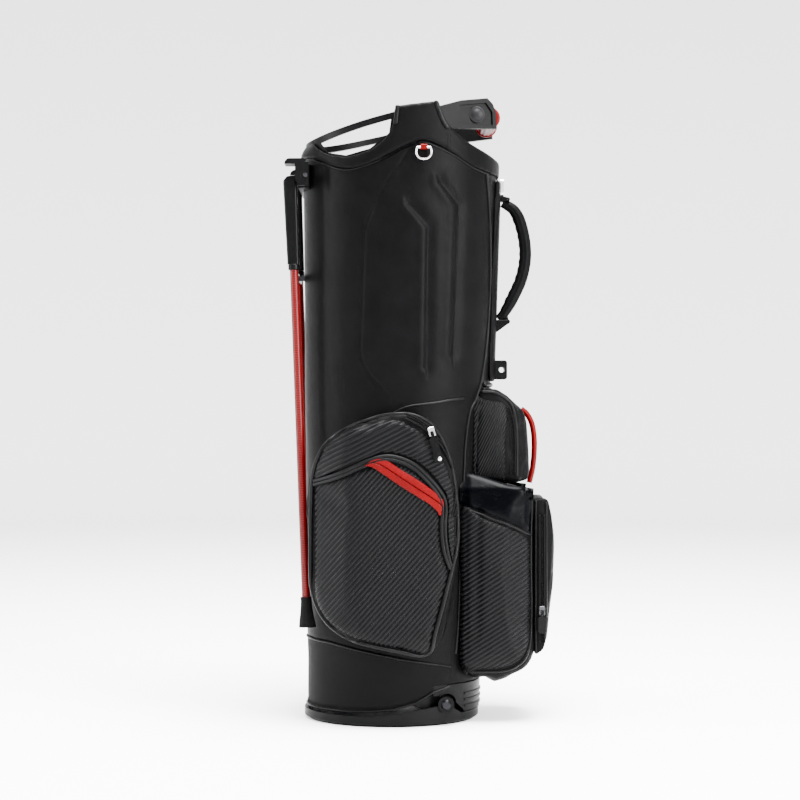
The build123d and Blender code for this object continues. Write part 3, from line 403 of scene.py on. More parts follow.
def mirrored(mesh, name):
    """A copy of a near-side mesh for the far side."""
    bm = bmesh.new()
    bm.from_mesh(mesh)
    for vert in bm.verts:
        vert.co.y = -vert.co.y
    bmesh.ops.reverse_faces(bm, faces=bm.faces)
    return mesh_from(name, bm)


class Skin:
    """The outside of some meshes, to lay other pieces on."""

    def __init__(self, *meshes):
        bm = bmesh.new()
        for mesh in meshes:
            bm.from_mesh(mesh)
        self.tree = BVHTree.FromBMesh(bm)
        bm.free()

    def cast(self, origin, direction, lift):
        hit = self.tree.ray_cast(Vector(origin), Vector(direction))[0]
        return None if hit is None else hit - Vector(direction) * lift

    def side(self, x, z, sign=NEAR, lift=0.0):
        return self.cast((x, sign * 0.5, z), (0, -sign, 0), lift)

    def lay(self, outline, sign=NEAR, lift=0.0, step=0.003):
        """A smooth path through (x, z) points, laid on one side of the bag."""
        flat = smooth_path([(x, 0, z) for x, z in outline], step)
        return [p for p in (self.side(q.x, q.z, sign, lift) for q in flat) if p is not None]


def crown(share, edge=0.12):
    """A pillow's profile: 0 at the rim (share 1), rising quickly to 1."""
    inner = min(1.0, max(0.0, (1 - share) / edge))
    return sqrt(1 - (1 - inner) ** 2)


def panel(name, outline, place, thick, material, centre=None, slot="carbon_leather", puff=0.0, rings=26):
    """A padded panel inside a closed outline: place(x, z, lift) lays a point on the surface beneath."""
    border = smooth_path([(x, 0, z) for x, z in outline], 0.004, closed=True)
    middle = Vector(centre) if centre else sum(border, Vector()) / len(border)
    bm = bmesh.new()
    grid = []
    for i in range(rings + 1):
        share = (i / rings) ** 0.8
        lift = thick * crown(share) + puff * (1 - share**2)
        points = [middle.lerp(p, share) for p in border] if i else [middle]
        grid.append([bm.verts.new(place(p.x, p.z, lift if i < rings else -0.0015)) for p in points])
    count = len(border)
    for k in range(count):
        bm.faces.new((grid[0][0], grid[1][k], grid[1][(k + 1) % count]))
    for low, high in zip(grid[1:], grid[2:]):
        for k in range(count):
            bm.faces.new((low[k], high[k], high[(k + 1) % count], low[(k + 1) % count]))
    bmesh.ops.recalc_face_normals(bm, faces=bm.faces)
    return add_object(name, mesh_from(name, bm), material, slot=slot)


def band(name, first, second, place, thick, material, slot="carbon_leather", across=14):
    """A padded strip between two open lines of (x, z) points."""
    upper = smooth_path([(x, 0, z) for x, z in first])
    lower = smooth_path([(x, 0, z) for x, z in second])
    count = max(len(upper), len(lower))

    def pick(path, i):
        spot = i / (count - 1) * (len(path) - 1)
        base = min(int(spot), len(path) - 2)
        return path[base].lerp(path[base + 1], spot - base)

    bm = bmesh.new()
    rows = []
    for i in range(count):
        a, b = pick(upper, i), pick(lower, i)
        row = []
        for j in range(across + 1):
            share = j / across
            spot = a.lerp(b, share)
            lift = thick * crown(abs(2 * share - 1), 0.25)
            row.append(bm.verts.new(place(spot.x, spot.z, lift if 0 < j < across else -0.001)))
        rows.append(row)
    for low, high in zip(rows, rows[1:]):
        for j in range(across):
            bm.faces.new((low[j], low[j + 1], high[j + 1], high[j]))
    bmesh.ops.recalc_face_normals(bm, faces=bm.faces)
    return add_object(name, mesh_from(name, bm), material, slot=slot)


# ---------------------------------------------------------------- camera, light and floor
camera_data = bpy.data.cameras.new("camera")
camera_data.lens = 85.9
camera = bpy.data.objects.new("camera", camera_data)
camera.location = (CENTRE[1], -2.8, 0.462)
camera.rotation_euler = (pi / 2, 0, 0)
bpy.context.scene.collection.objects.link(camera)
bpy.context.scene.camera = camera


def soft_light(name, spot, aim, size, power):
    data = bpy.data.lights.new(name, "AREA")
    data.shape, data.size, data.size_y, data.energy = "RECTANGLE", size[0], size[1], power
    light = bpy.data.objects.new(name, data)
    light.location = spot
    light.rotation_euler = (Vector(aim) - Vector(spot)).to_track_quat("-Z", "Y").to_euler()
    light.visible_camera = False
    bpy.context.scene.collection.objects.link(light)


soft_light("left_box", (-2.8, -0.5, 1.3), (0, 0, 0.5), (0.6, 2.4), 190)
soft_light("right_box", (2.4, -2.2, 1.4), (0, 0, 0.45), (1.0, 2.4), 480)
soft_light("top_box", (0.3, -0.5, 3.2), (0, 0, 0.3), (1.8, 1.8), 1100)
world = bpy.context.scene.world or bpy.data.worlds.new("studio")
bpy.context.scene.world = world
world.use_nodes = True
world.node_tree.nodes["Background"].inputs["Color"].default_value = (1, 1, 1, 1)
world.node_tree.nodes["Background"].inputs["Strength"].default_value = 2.4


def studio():
    """A pale floor that curves up into a low wall all round, with no horizon line."""
    flat, wall, height, middle = 4.5, 9.0, 5.0, 0.05
    bm = bmesh.new()
    rings, around, steps = [], 96, 40
    for i in range(steps + 1):
        share = i / steps
        radius = middle + (wall - middle) * share
        rise = height * max(0.0, (radius - flat) / (wall - flat)) ** 2
        turns = [2 * pi * k / around for k in range(around)]
        rings.append([bm.verts.new((radius * cos(turn), radius * sin(turn), rise)) for turn in turns])
    add_rings(bm, rings)
    bm.faces.new(list(reversed(rings[0])))
    bmesh.ops.recalc_face_normals(bm, faces=bm.faces)
    return mesh_from("studio_floor", bm)


floor = add_object("studio_floor", studio(), None, body=None)
floor_shader = Shader("studio_paper", (0.90, 0.90, 0.90), 0.9, specular=0.1)
floor_shader.tint(floor_shader.noise(3, 2), 0.997, 1.003)
floor.data.materials.append(floor_shader.material)


# ---------------------------------------------------------------- trunk skin with its quilting
def taper(pair, z):
    return pair[0] + (pair[1] - pair[0]) * (z - LOW_Z) / (HIGH_Z - LOW_Z)


def trunk_point(turn, z, out=0.0):
    """A point on the trunk's oval at an angle, out metres outside it."""
    return Vector((
        taper(CENTRE, z) + (taper(HALF_LENGTH, z) + out) * cos(turn),
        (taper(HALF_WIDTH, z) + out) * sin(turn),
        z,
    ))


def level(line, x):
    """Height of a line of (x, z) points at x."""
    for (x0, z0), (x1, z1) in zip(line, line[1:]):
        if x <= x1:
            share = min(1.0, max(0.0, (x - x0) / (x1 - x0)))
            return z0 + (z1 - z0) * share
    return line[-1][1]


CUFF_SEAM = [(p.x, p.z) for p in smooth_path([(x, 0, z) for x, z in mm(
    (-150, 815), (-110, 806), (-64, 789), (-16, 801), (20, 820), (46, 826), (84, 812), (120, 793), (154, 785),
    (170, 782),
)], 0.002)]
SHELL_EDGE = mm((-150, 122), (-88, 118), (87.9, 83), (88, 56.8), (170, 56.8))
QUILT_EDGE = mm(
    (24, 812), (-17, 753), (-32, 718), (-38, 700), (-44, 532), (-41, 517), (-30, 497), (6, 458), (30, 440),
)
QUILT_FOLDS = [mm((24, 738), (52, 707), (49, 508)), mm((69, 771), (95, 738), (87, 528))]


def distance_to(line, x, z):
    """Distance from (x, z) to a line of points, and which side of it the point is on."""
    best, side = 1.0, 1.0
    for (x0, z0), (x1, z1) in zip(line, line[1:]):
        run_x, run_z = x1 - x0, z1 - z0
        share = min(1.0, max(0.0, ((x - x0) * run_x + (z - z0) * run_z) / (run_x**2 + run_z**2)))
        gap = hypot(x - x0 - share * run_x, z - z0 - share * run_z)
        if gap < best:
            best = gap
            side = 1.0 if (x - x0) * run_z - (z - z0) * run_x < 0 else -1.0
    return best, side


def quilting(x, z):
    """How far the sewn side panel stands out of the trunk, or sinks in, at (x, z)."""
    if z < 0.43 or x > 0.150:
        return 0.0
    fade = min(1.0, (z - 0.43) / 0.04)
    gap, side = distance_to(QUILT_EDGE, x, z)
    inside = side > 0 and x > -0.05
    relief = -0.0010 * exp(-((gap / 0.0020) ** 2))
    if inside:
        relief += 0.0016 * (1 - exp(-((gap / 0.016) ** 2)))
    for fold in QUILT_FOLDS:
        gap, side = distance_to(fold, x, z)
        left = side < 0
        relief -= (0.0022 if left else 0.0026) * exp(-((gap / (0.0030 if left else 0.0100)) ** 2))
        if left:
            relief += 0.0010 * exp(-(((gap - 0.009) / 0.006) ** 2))
    return relief * fade


def trunk_skin():
    """The leather shell: an outer skin with quilting and slight waves, and a lining inside it."""
    wall = 0.0036
    columns, rows = ((440, 260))
    bm = bmesh.new()
    skins = []
    for out in (0.0, -wall):
        grid = []
        for i in range(rows + 1):
            row = []
            for k in range(columns):
                turn = 2 * pi * k / columns
                flat = trunk_point(turn, 0.5)
                top = level(CUFF_SEAM, flat.x) - 0.0004
                low = level(SHELL_EDGE, flat.x)
                z = low + (top - low) * i / rows
                point = trunk_point(turn, z, out)
                if out == 0.0:
                    wave = 0.0011 * noise.noise(Vector((point.x * 9, point.y * 9, z * 5)))
                    point = trunk_point(turn, z, quilting(point.x, z) + wave - 0.0006)
                row.append(bm.verts.new(point))
            grid.append(row)
        skins.append(grid)
    outer, inner = skins
    for grid, flip in ((outer, False), (inner, True)):
        for low, high in zip(grid, grid[1:]):
            for k in range(columns):
                n = (k + 1) % columns
                corners = (low[k], low[n], high[n], high[k])
                face = bm.faces.new(corners[::-1] if flip else corners)
                face.material_index = 1 if flip else 0
    for a, b, flip in ((outer[-1], inner[-1], False), (outer[0], inner[0], True)):
        for k in range(columns):
            n = (k + 1) % columns
            corners = (a[k], a[n], b[n], b[k])
            bm.faces.new(corners[::-1] if flip else corners)
    mesh = mesh_from("trunk_leather", bm)
    made = add_object("trunk_leather", mesh, BLACK_LEATHER, "trunk", "shell_leather", ("trunk_shell",))
    made.data.materials.append(LINING)
    return made


trunk_leather = trunk_skin()
trunk_surface = Skin(trunk_leather.data)

quilt_stitches = []
for sign in (NEAR, FAR):
    quilt_stitches.append(trunk_surface.lay(QUILT_EDGE, sign, 0.0002, 0.0008))
    for fold in QUILT_FOLDS:
        quilt_stitches.append(trunk_surface.lay(fold, sign, 0.0002, 0.0008))
bm = bmesh.new()
for path in quilt_stitches:
    add_stitches(bm, path)
add_object("quilt_stitching", mesh_from("quilt_stitching", bm), THREAD, "trunk", "cuff_leather")


def inflated(name, nodes, voxel, shrink, cap, held, smooth=6):
    """The CAD nodes' shape as padded fabric: remeshed, blown up as cloth where not held, then subdivided."""
    mesh = softened(name, nodes, voxel, smooth, -shrink)
    blown = bpy.data.objects.new(name + "_cloth", mesh)
    bpy.context.scene.collection.objects.link(blown)
    pin = blown.vertex_groups.new(name="held")
    start = [vert.co.copy() for vert in mesh.vertices]
    pin.add([i for i, co in enumerate(start) if held(co)], 1.0, "REPLACE")
    cloth = blown.modifiers.new("cloth", "CLOTH")
    settings = cloth.settings
    settings.quality = 5
    settings.mass = 0.2
    settings.use_pressure, settings.uniform_pressure_force = True, 4.0
    settings.effector_weights.gravity = 0.0
    settings.vertex_group_mass = "held"
    scene = bpy.context.scene
    for step in range(1, 21):
        scene.frame_set(step)
    evaluated = blown.evaluated_get(bpy.context.evaluated_depsgraph_get())
    moved = [vert.co.copy() for vert in evaluated.data.vertices]
    blown.modifiers.clear()
    scene.frame_set(1)
    for vert, first, last in zip(mesh.vertices, start, moved):
        shift = last - first
        vert.co = first + shift * min(1.0, cap / max(shift.length, 1e-9))
    finer = blown.modifiers.new("finer", "SUBSURF")
    finer.levels = 1
    result = bpy.data.meshes.new_from_object(blown.evaluated_get(bpy.context.evaluated_depsgraph_get()))
    result.name = name
    bpy.data.objects.remove(blown)
    return result


def rumple(mesh, amount, size, seed=0.0):
    """Slight waves of handled leather, along the mesh's normals."""
    normals = [vert.normal.copy() for vert in mesh.vertices]
    for vert, normal in zip(mesh.vertices, normals):
        vert.co += normal * amount * noise.noise(vert.co / size + Vector((seed, seed, seed)))


def both_sides(name, mesh, material, slot, nodes=()):
    """A near-side piece and its mirror image on the far side."""
    far = mirrored(mesh, name + "_far")
    add_object(name + "_near", mesh, material, "trunk", slot, [node + "_near" for node in nodes])
    add_object(name + "_far", far, material, "trunk", slot, [node + "_far" for node in nodes])


def add_teeth(bm, path, out, pitch=0.0021, length=0.0036, radius=0.00055):
    """Zip coils across a path; out is the direction away from the tape."""
    travelled = 0.0
    out = Vector(out)
    for first, last in zip(path, path[1:]):
        travelled += (last - first).length
        if travelled < pitch:
            continue
        travelled -= pitch
        across = (last - first).normalized().cross(out).normalized() * length / 2
        add_tube(bm, [last - across, last + out * radius * 0.7, last + across], radius, 6)


# ---------------------------------------------------------------- side pockets
FACE_OUTLINE = mm(
    (-114, 290), (-112, 345), (-105, 377), (-89, 405), (-64, 423), (-33, 434), (4, 444.5), (40, 438),
    (68, 418.5), (85, 388), (95, 359), (100, 333), (101, 306), (98, 280), (86, 230), (73, 178), (62, 138),
    (52, 105), (14, 110),
    (-38, 121), (-74, 132), (-98, 148), (-111, 172), (-114, 205),
)
ARCH = mm(
    (-109, 348), (-76, 358), (-38, 375), (-12, 383.5), (8, 382.5), (33, 372), (53, 354), (68, 336), (75, 324),
    (77, 310), (75.5, 292), (76, 270), (79, 250), (84, 230),
)
INNER_ARCH = mm(
    (-109, 343), (-76, 353), (-39, 370), (-14, 378.5), (7, 377.5), (31, 367), (50, 349.5), (64, 333),
    (70, 321), (72.3, 308), (71, 291), (71.5, 270), (75, 248), (82.5, 226),
)
MAIN_PANEL = mm(
    (-109, 290), (-107, 340), (-76, 351), (-38, 367), (-12, 375), (10, 373), (33, 362), (52, 345), (67, 322),
    (69.5, 308), (68, 291), (68.5, 270), (72, 247), (80, 224), (80, 210), (71, 178), (60, 138), (50, 108),
    (14, 113), (-38, 124),
    (-71, 138), (-92, 154), (-105, 176), (-108.5, 205),
)
UPPER_OUTER = mm(
    (-108, 356), (-103, 376), (-88, 402), (-64, 420), (-33, 430), (4, 435), (33, 424), (58, 405), (72, 380),
    (82, 355), (87, 333), (88.5, 306), (89, 280), (88, 257), (86.5, 240),
)
UPPER_INNER = mm(
    (-107, 351), (-100, 353), (-76, 361), (-38, 378), (-12, 386.5), (9, 385.5), (35, 375), (56, 357),
    (71, 338),
    (78.5, 325), (80.5, 311), (79, 292), (79.5, 270), (82, 252), (86, 237),
)
RED_TOP = mm(
    (-38, 370), (-26, 378), (-10, 380), (14, 365), (40, 349), (65, 331), (73, 321), (73, 309), (69, 301),
)
RED_MIDDLE = mm(
    (-38, 370), (-27, 374), (-14, 371), (14, 353), (40, 336), (60, 323), (71, 314), (70, 306), (69, 301),
)
RED_LOW = mm(
    (-38, 369.5), (-28, 369), (-12, 359), (14, 341), (40, 325), (53, 317), (64, 307), (67, 302), (69, 301),
)
HOOD_LINE = mm((4, 444), (16, 450), (27, 453.5), (46, 456), (66, 458.5), (84, 462), (104, 464))

pocket = inflated(
    "side_pocket", ("side_pocket_near", "side_pocket_face_near"), 0.0045, 0.0015, 0.0035,
    lambda co: co.y > -0.104,
)
rumple(pocket, 0.0010, 0.05)
pocket_surface = Skin(pocket)
trunk_and_pocket = Skin(pocket, trunk_leather.data)


FACE_MIDDLE, LEFT_RIM, RIGHT_RIM = Vector((-0.005, 0, 0.270)), -0.095, -0.127


def over_trunk(x, z, lift):
    """A point over the near side pocket or the trunk behind it."""
    return trunk_and_pocket.side(x, z, NEAR, lift) or Vector((x, -0.1, z))


def near_face(x, z, lift):
    """A point over the near side pocket's face; a spot past its rim is brought in to the rim."""
    for pull in range(40):
        spot = Vector((x, 0, z)).lerp(FACE_MIDDLE, pull * 0.003)
        hit = pocket_surface.side(spot.x, spot.z, NEAR, lift)
        if hit is not None and hit.y < (RIGHT_RIM if x > 0 else LEFT_RIM):
            return hit
    return over_trunk(x, z, lift)


main_panel = panel("carbon_panel_near", MAIN_PANEL, near_face, 0.0030, TWILL_STEEP,
                   centre=(-0.02, 0, 0.25), puff=0.0015)
upper_panel = band("upper_carbon_near", UPPER_OUTER, UPPER_INNER, near_face, 0.0032, TWILL_LOW)


def over_panel(x, z, lift):
    """A point over the near side pocket's main panel."""
    return near_face(x, z, lift + 0.0030)


red_upper = band("red_mesh_near", RED_TOP, RED_MIDDLE, over_panel, 0.0018, RED_MESH, slot="lip_red")
red_lower = band("red_lip_near", RED_MIDDLE, RED_LOW, over_panel, 0.0042, RED_LEATHER, slot="lip_red")
for piece, far_name in ((main_panel, "carbon_panel_far"), (upper_panel, "upper_carbon_far"),
                        (red_upper, "red_mesh_far"), (red_lower, "red_lip_far")):
    far_mesh = mirrored(piece.data, far_name)
    add_object(far_name, far_mesh, piece.data.materials[0], "trunk", piece["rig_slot"])

both_sides("side_pocket_body", pocket, SOFT_LEATHER, "pocket_leather", ("side_pocket", "side_pocket_face"))


def evened(path, passes=4):
    """A path with its small steps averaged out, its ends kept."""
    for _ in range(passes):
        path = [path[0]] + [(a + b * 2 + c) / 4 for a, b, c in zip(path, path[1:], path[2:])] + [path[-1]]
    return path


def laid_near(outline, lift, step=0.003, closed=False):
    path = smooth_path([(x, 0, z) for x, z in outline], step, closed)
    return evened([near_face(p.x, p.z, lift) for p in path])


bm = bmesh.new()
add_tube(bm, laid_near(FACE_OUTLINE, 0.0024, closed=True), 0.0027, 10, closed=True)
hood_path = smooth_path([(x, 0, z) for x, z in HOOD_LINE])
add_tube(bm, evened([over_trunk(p.x, p.z, 0.0005) for p in hood_path]), 0.0018)
both_sides("pocket_piping", mesh_from("pocket_piping", bm), PIPING_LEATHER, "pocket_leather")
bm = bmesh.new()
for outline in (ARCH, INNER_ARCH):
    add_tube(bm, laid_near(outline, 0.0025), 0.0027, 10)
both_sides("arch_binding", mesh_from("arch_binding", bm), PIPING_LEATHER, "pocket_leather",
           ("quick_pocket", "quick_pocket_lip"))
bm = bmesh.new()
for outline, inset in ((UPPER_OUTER, 0.0), (RED_MIDDLE, 0.0052)):
    add_stitches(bm, laid_near(outline, 0.0026 + inset, 0.0008))
both_sides("pocket_stitching", mesh_from("pocket_stitching", bm), THREAD, "pocket_leather")

ZIP_CENTRE, ZIP_RADIUS, ZIP_FROM, ZIP_TO = (-0.01845, 0.33481), 0.11199, 69.9, -18.1


def zip_arc(radius, lift, count=160):
    turns = [radians(ZIP_FROM + (ZIP_TO - ZIP_FROM) * i / count) for i in range(count + 1)]
    middle_x, middle_z = ZIP_CENTRE
    return evened([near_face(middle_x + radius * cos(t), middle_z + radius * sin(t), lift) for t in turns])


bm = bmesh.new()
for shift in (-0.0034, 0.0034):
    add_tube(bm, zip_arc(ZIP_RADIUS + shift, 0.0030), 0.0014, 8)
both_sides("side_zip_tape", mesh_from("side_zip_tape", bm), WEBBING, "zip_tape", ("side_zip",))
bm = bmesh.new()
add_teeth(bm, zip_arc(ZIP_RADIUS, 0.0034, 260), (0, -1, 0))
both_sides("side_zip_teeth", mesh_from("side_zip_teeth", bm), PLASTIC, "zip_tape")

# ---------------------------------------------------------------- rear pockets
rear_body = inflated("rear_pocket_body", ("rear_pocket",), 0.0045, 0.0015, 0.0035, lambda co: co.x < 0.125)
valuables = inflated("valuables_body", ("valuables_pocket", "valuables_panel"), 0.0045, 0.0012, 0.003,
                     lambda co: co.x < 0.130)
ball_body = inflated("ball_pocket_body", ("ball_pocket",), 0.0040, 0.0010, 0.0025, lambda co: co.x < 0.208)
for mesh in (rear_body, valuables, ball_body):
    rumple(mesh, 0.0009, 0.045)
SAG_TOP = 0.10  # the rear pocket's underside hangs down in the middle, from this height
for vert in rear_body.vertices:
    if vert.co.z < SAG_TOP:
        centre = max(0.0, 1 - (vert.co.y / 0.084) ** 2)
        inward = min(1.0, max(0.0, (0.204 - vert.co.x) / 0.054))
        vert.co.z -= 0.018 * centre * inward * (SAG_TOP - vert.co.z) / 0.028
rear_piece = add_object("rear_pocket_body", rear_body, SOFT_LEATHER, "trunk", "pocket_leather",
                        ("rear_pocket",))
valuables_piece = add_object("valuables_body", valuables, SOFT_LEATHER, "trunk", "pocket_leather",
                             ("valuables_pocket", "valuables_panel"))
ball_piece = add_object("ball_pocket_body", ball_body, SOFT_LEATHER, "trunk", "pocket_leather",
                        ("ball_pocket",))
rear_surface, valuables_surface, ball_surface = Skin(rear_body), Skin(valuables), Skin(ball_body)

BAND_TOP = mm((98, 363), (128, 354), (147, 348), (170, 341), (190, 338), (203, 336))
BAND_LOW = mm((98, 313), (128, 303), (145, 296), (166, 288), (184, 279), (199, 272))
REAR_PANEL = mm(
    (99, 307), (128, 297), (145, 290), (166, 282), (184, 273), (196, 264), (199, 238), (199, 150), (195, 108),
    (180, 88), (158, 79), (130, 77), (100, 80), (98, 190),
)
VALUABLES_PANEL = mm(
    (119, 346), (140, 345), (162, 345), (164, 400), (167, 440), (160, 458), (135, 463), (120, 464),
    (117, 400),
)


def over(surface, depth):
    """A function that lays points on one surface's near side, or at a depth where it has none."""
    return lambda x, z, lift: surface.side(x, z, NEAR, lift) or Vector((x, -depth - lift, z))


def rear_side(x, z, lift):
    """Over the rear pocket's side, rounding in at its front edge to meet the trunk."""
    base = rear_surface.side(max(x, 0.108), min(z, 0.328), NEAR) or Vector((x, -0.082, z))
    wall = trunk_surface.side(x, z, NEAR) or base
    reach = min(1.0, max(0.0, (x - 0.097) / 0.011))
    return Vector((x, wall.y + (base.y - wall.y) * sqrt(1 - (1 - reach) ** 2) - lift, z))


def shoulder(x, z, lift):
    """The same, leaning in above the pocket's top edge towards the valuables pocket."""
    place = rear_side(x, z, lift)
    place.y += 0.6 * max(0.0, z - 0.334)
    return place


def ball_column(x, heights, sign, lift):
    """An upright line on the ball pocket's side at x, through heights in metres."""
    return [p for p in (ball_surface.side(x, z, sign, lift) for z in heights) if p]


for sign, side in ((NEAR, "near"), (FAR, "far")):
    made = [
        band(f"gloss_band_{side}", BAND_TOP, BAND_LOW, shoulder, 0.0030, GLOSS_LEATHER,
             slot="pocket_leather"),
        panel(f"rear_carbon_{side}", REAR_PANEL, rear_side, 0.0030, TWILL_REAR,
              centre=(0.152, 0, 0.19), puff=0.0015),
        panel(f"valuables_side_{side}", VALUABLES_PANEL, over(valuables_surface, 0.060), 0.0022, TWILL_FINE,
              slot="pocket_leather", puff=0.002),
    ]
    if sign == FAR:
        for piece in made:
            for vert in piece.data.vertices:
                vert.co.y = -vert.co.y
            piece.data.flip_normals()

bm = bmesh.new()
for sign in (NEAR, FAR):
    for surface, line in (
        (rear_surface, mm((107, 306), (128, 299), (145, 292), (166, 285), (184, 276), (199, 269))),
        (rear_surface, mm((201, 326), (200, 238), (201, 146), (196, 104), (181, 84), (158, 75), (112, 74))),
        (valuables_surface, mm((180, 353), (180.5, 400), (178, 434), (170, 458), (150, 472), (124, 474))),
    ):
        add_tube(bm, surface.lay(line, sign, 0.0006), 0.0020)
    for x, low, high in ((0.2075, 96, 322), (0.2225, 150, 318)):
        add_tube(bm, ball_column(x, [z * 0.001 for z in range(low, high, 3)], sign, 0.0006), 0.0018)
add_object("rear_piping", mesh_from("rear_piping", bm), PIPING_LEATHER, "trunk", "pocket_leather")

bm = bmesh.new()
tape = bmesh.new()
for sign in (NEAR, FAR):
    out = (0, sign, 0)
    column = ball_column(0.216, [z * 0.0005 for z in range(228, 600, 2)], sign, 0.0012)
    add_teeth(bm, column, out)
    for shift in (-0.0034, 0.0034):
        add_tube(tape, [p + Vector((shift, 0, 0)) for p in column[::4]], 0.0016)
    zip_line = mm((174, 355), (174.5, 400), (172.5, 430), (166, 452))
    valuables_zip = valuables_surface.lay(zip_line, sign, 0.0008, 0.001)
    add_teeth(bm, valuables_zip, out)
    for shift in (-0.0032, 0.0032):
        add_tube(tape, [p + Vector((shift, 0, 0)) for p in valuables_zip[::4]], 0.0014)
add_object("rear_zip_teeth", mesh_from("rear_zip_teeth", bm), PLASTIC, "trunk", "zip_tape")
add_object("rear_zip_tape", mesh_from("rear_zip_tape", tape), WEBBING, "trunk", "zip_tape", ("ball_zip",))

LOOP_LINE = mm((190, 449), (199, 441), (206.5, 425), (209.5, 399), (207.5, 366), (202, 341))
bm = bmesh.new()
add_tube(bm, smooth_path([(x, 0, z) for x, z in LOOP_LINE], 0.002), 0.0042, 14)
for vert in bm.verts:
    vert.co.y *= 1.7
add_object("red_loop", mesh_from("red_loop", bm), RED_LEATHER, "trunk", "lip_red", ("valuables_loop",))

# ---------------------------------------------------------------- cuff, saddle bindings and spine
cuff = softened("cuff", ("top_cuff",), 0.0022, 14)
for vert in cuff.vertices:
    rise = min(1.0, max(0.0, (vert.co.z - 0.812) / 0.030)) * min(1.0, max(0.0, (-vert.co.x - 0.085) / 0.040))
    inward = Vector((CENTRE[1] - vert.co.x, -vert.co.y, 0)).normalized()
    vert.co += inward * 0.020 * rise**2
rumple(cuff, 0.0008, 0.06)
cuff_piece = add_object("cuff_leather", cuff, BLACK_LEATHER, "trunk", "cuff_leather", ("top_cuff",))
bindings = softened("bindings", ("saddle_bindings",), 0.0013, 10, 0.0008)
add_object("saddle_piping", bindings, PIPING_LEATHER, "trunk", "cuff_leather", ("saddle_bindings",))
spine = inflated("spine", ("spine_panel",), 0.0035, 0.0008, 0.0025, lambda co: False, 4)
spine_piece = add_object("spine_pad", spine, SOFT_LEATHER, "trunk", "pocket_leather", ("spine_panel",))
cuff_surface = Skin(cuff)

SPINE_LINE = mm((137, 786), (141, 740), (143, 690), (143, 626), (139, 560), (131, 496), (121, 462),
                (112, 443), (106, 400), (104, 360), (102, 316), (99, 235), (96, 150), (92, 100))
bm = bmesh.new()
threads = bmesh.new()
for sign in (NEAR, FAR):
    add_tube(bm, trunk_surface.lay(SPINE_LINE, sign, 0.0006), 0.0021)
    below_cuff = [(x, z - 0.0012) for x, z in CUFF_SEAM[::6] if x < 0.150]
    add_tube(bm, trunk_surface.lay(below_cuff, sign, 0.0004), 0.0012)
    for seam_x in (0.080, 0.084):
        add_stitches(threads, [p for p in (cuff_surface.side(seam_x, z * 0.0005, sign, 0.0002)
                                           for z in range(1632, 1680)) if p])
for height in (0.476, 0.484):
    add_tube(bm, [trunk_point(radians(a), height, 0.0015) for a in range(-24, 25, 2)], 0.0036, 10)
add_object("spine_piping", mesh_from("spine_piping", bm), PIPING_LEATHER, "trunk", "shell_leather")
add_object("cuff_stitching", mesh_from("cuff_stitching", threads), THREAD, "trunk", "cuff_leather")

# ---------------------------------------------------------------- carry handle
def carry_handle():
    """A padded leather tube with rolled seams along it and creases on its inner side."""
    path = smooth_path([(x, 0, z) for x, z in mm((163, 751), (181, 738), (192, 709), (196, 674), (190, 640),
                                                  (175, 607), (164, 588), (157.5, 580))], 0.0015)
    bm = bmesh.new()
    rings, around = [], 40
    for i, point in enumerate(path):
        along = (path[min(i + 1, len(path) - 1)] - path[max(i - 1, 0)]).normalized()
        outward = Vector((0, 1, 0)).cross(along).normalized()
        if outward.x < 0:
            outward.negate()
        share = i / (len(path) - 1)
        full = 0.72 + 0.28 * min(1.0, 6 * min(share, 1 - share))
        ring = []
        for k in range(around):
            turn = 2 * pi * k / around
            radius = 0.0091
            for seam in (0.9, 1.75):
                radius -= 0.0011 * exp(-(((abs(turn if turn < pi else turn - 2 * pi) - seam) / 0.13) ** 2))
            inner = max(0.0, -cos(turn))
            radius -= 0.0007 * inner * (0.5 + 0.5 * sin(share * 95)) * min(1.0, 5 * share)
            spoke = outward * cos(turn) + Vector((0, 1, 0)) * sin(turn) * 1.05
            ring.append(bm.verts.new(point + radius * full * spoke))
        rings.append(ring)
    add_rings(bm, rings)
    bm.faces.new(rings[0])
    bm.faces.new(list(reversed(rings[-1])))
    bmesh.ops.recalc_face_normals(bm, faces=bm.faces)
    return mesh_from("carry_handle_pad", bm)


carry = add_object("carry_handle_pad", carry_handle(), BLACK_LEATHER, "carry_handle", "handle_leather",
                   ("carry_handle",))

# ---------------------------------------------------------------- red grip of the top handle
def grip():
    """A ribbed rubber grip turned about its axis along Y, with a flange at each end."""
    low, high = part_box("handle_grip")
    centre = Vector(((low[0] + high[0]) / 2, 0, (low[2] + high[2]) / 2))
    outer, half = (high[0] - low[0]) / 2, high[1]
    bm = bmesh.new()
    rings, around, steps = [], 72, 120
    for i in range(steps + 1):
        y = -half + 2 * half * i / steps
        edge = half - abs(y)
        radius = outer - 0.0024 * (1 if edge > 0.006 else 0) - 0.0016 * max(0.0, 1 - edge / 0.0012)
        ring = []
        for k in range(around):
            turn = 2 * pi * k / around
            rib = 0.0011 * (0.5 + 0.5 * cos(14 * turn)) * (1 if edge > 0.007 else 0)
            spoke = Vector(((radius + rib) * cos(turn), y, (radius + rib) * sin(turn)))
            ring.append(bm.verts.new(centre + spoke))
        rings.append(ring)
    bore = 0.0065
    turns = [2 * pi * k / around for k in range(around)]
    inner = [[bm.verts.new(centre + Vector((bore * cos(turn), y, bore * sin(turn)))) for turn in turns]
             for y in (-half, half)]
    add_rings(bm, rings)
    for pair in ((inner[0], rings[0]), (rings[-1], inner[1]), (inner[1], inner[0])):
        add_rings(bm, pair)
    bmesh.ops.recalc_face_normals(bm, faces=bm.faces)
    return mesh_from("red_grip", bm)


add_object("red_grip", grip(), GRIP_RUBBER, "trunk", "grip_red", ("handle_grip",))

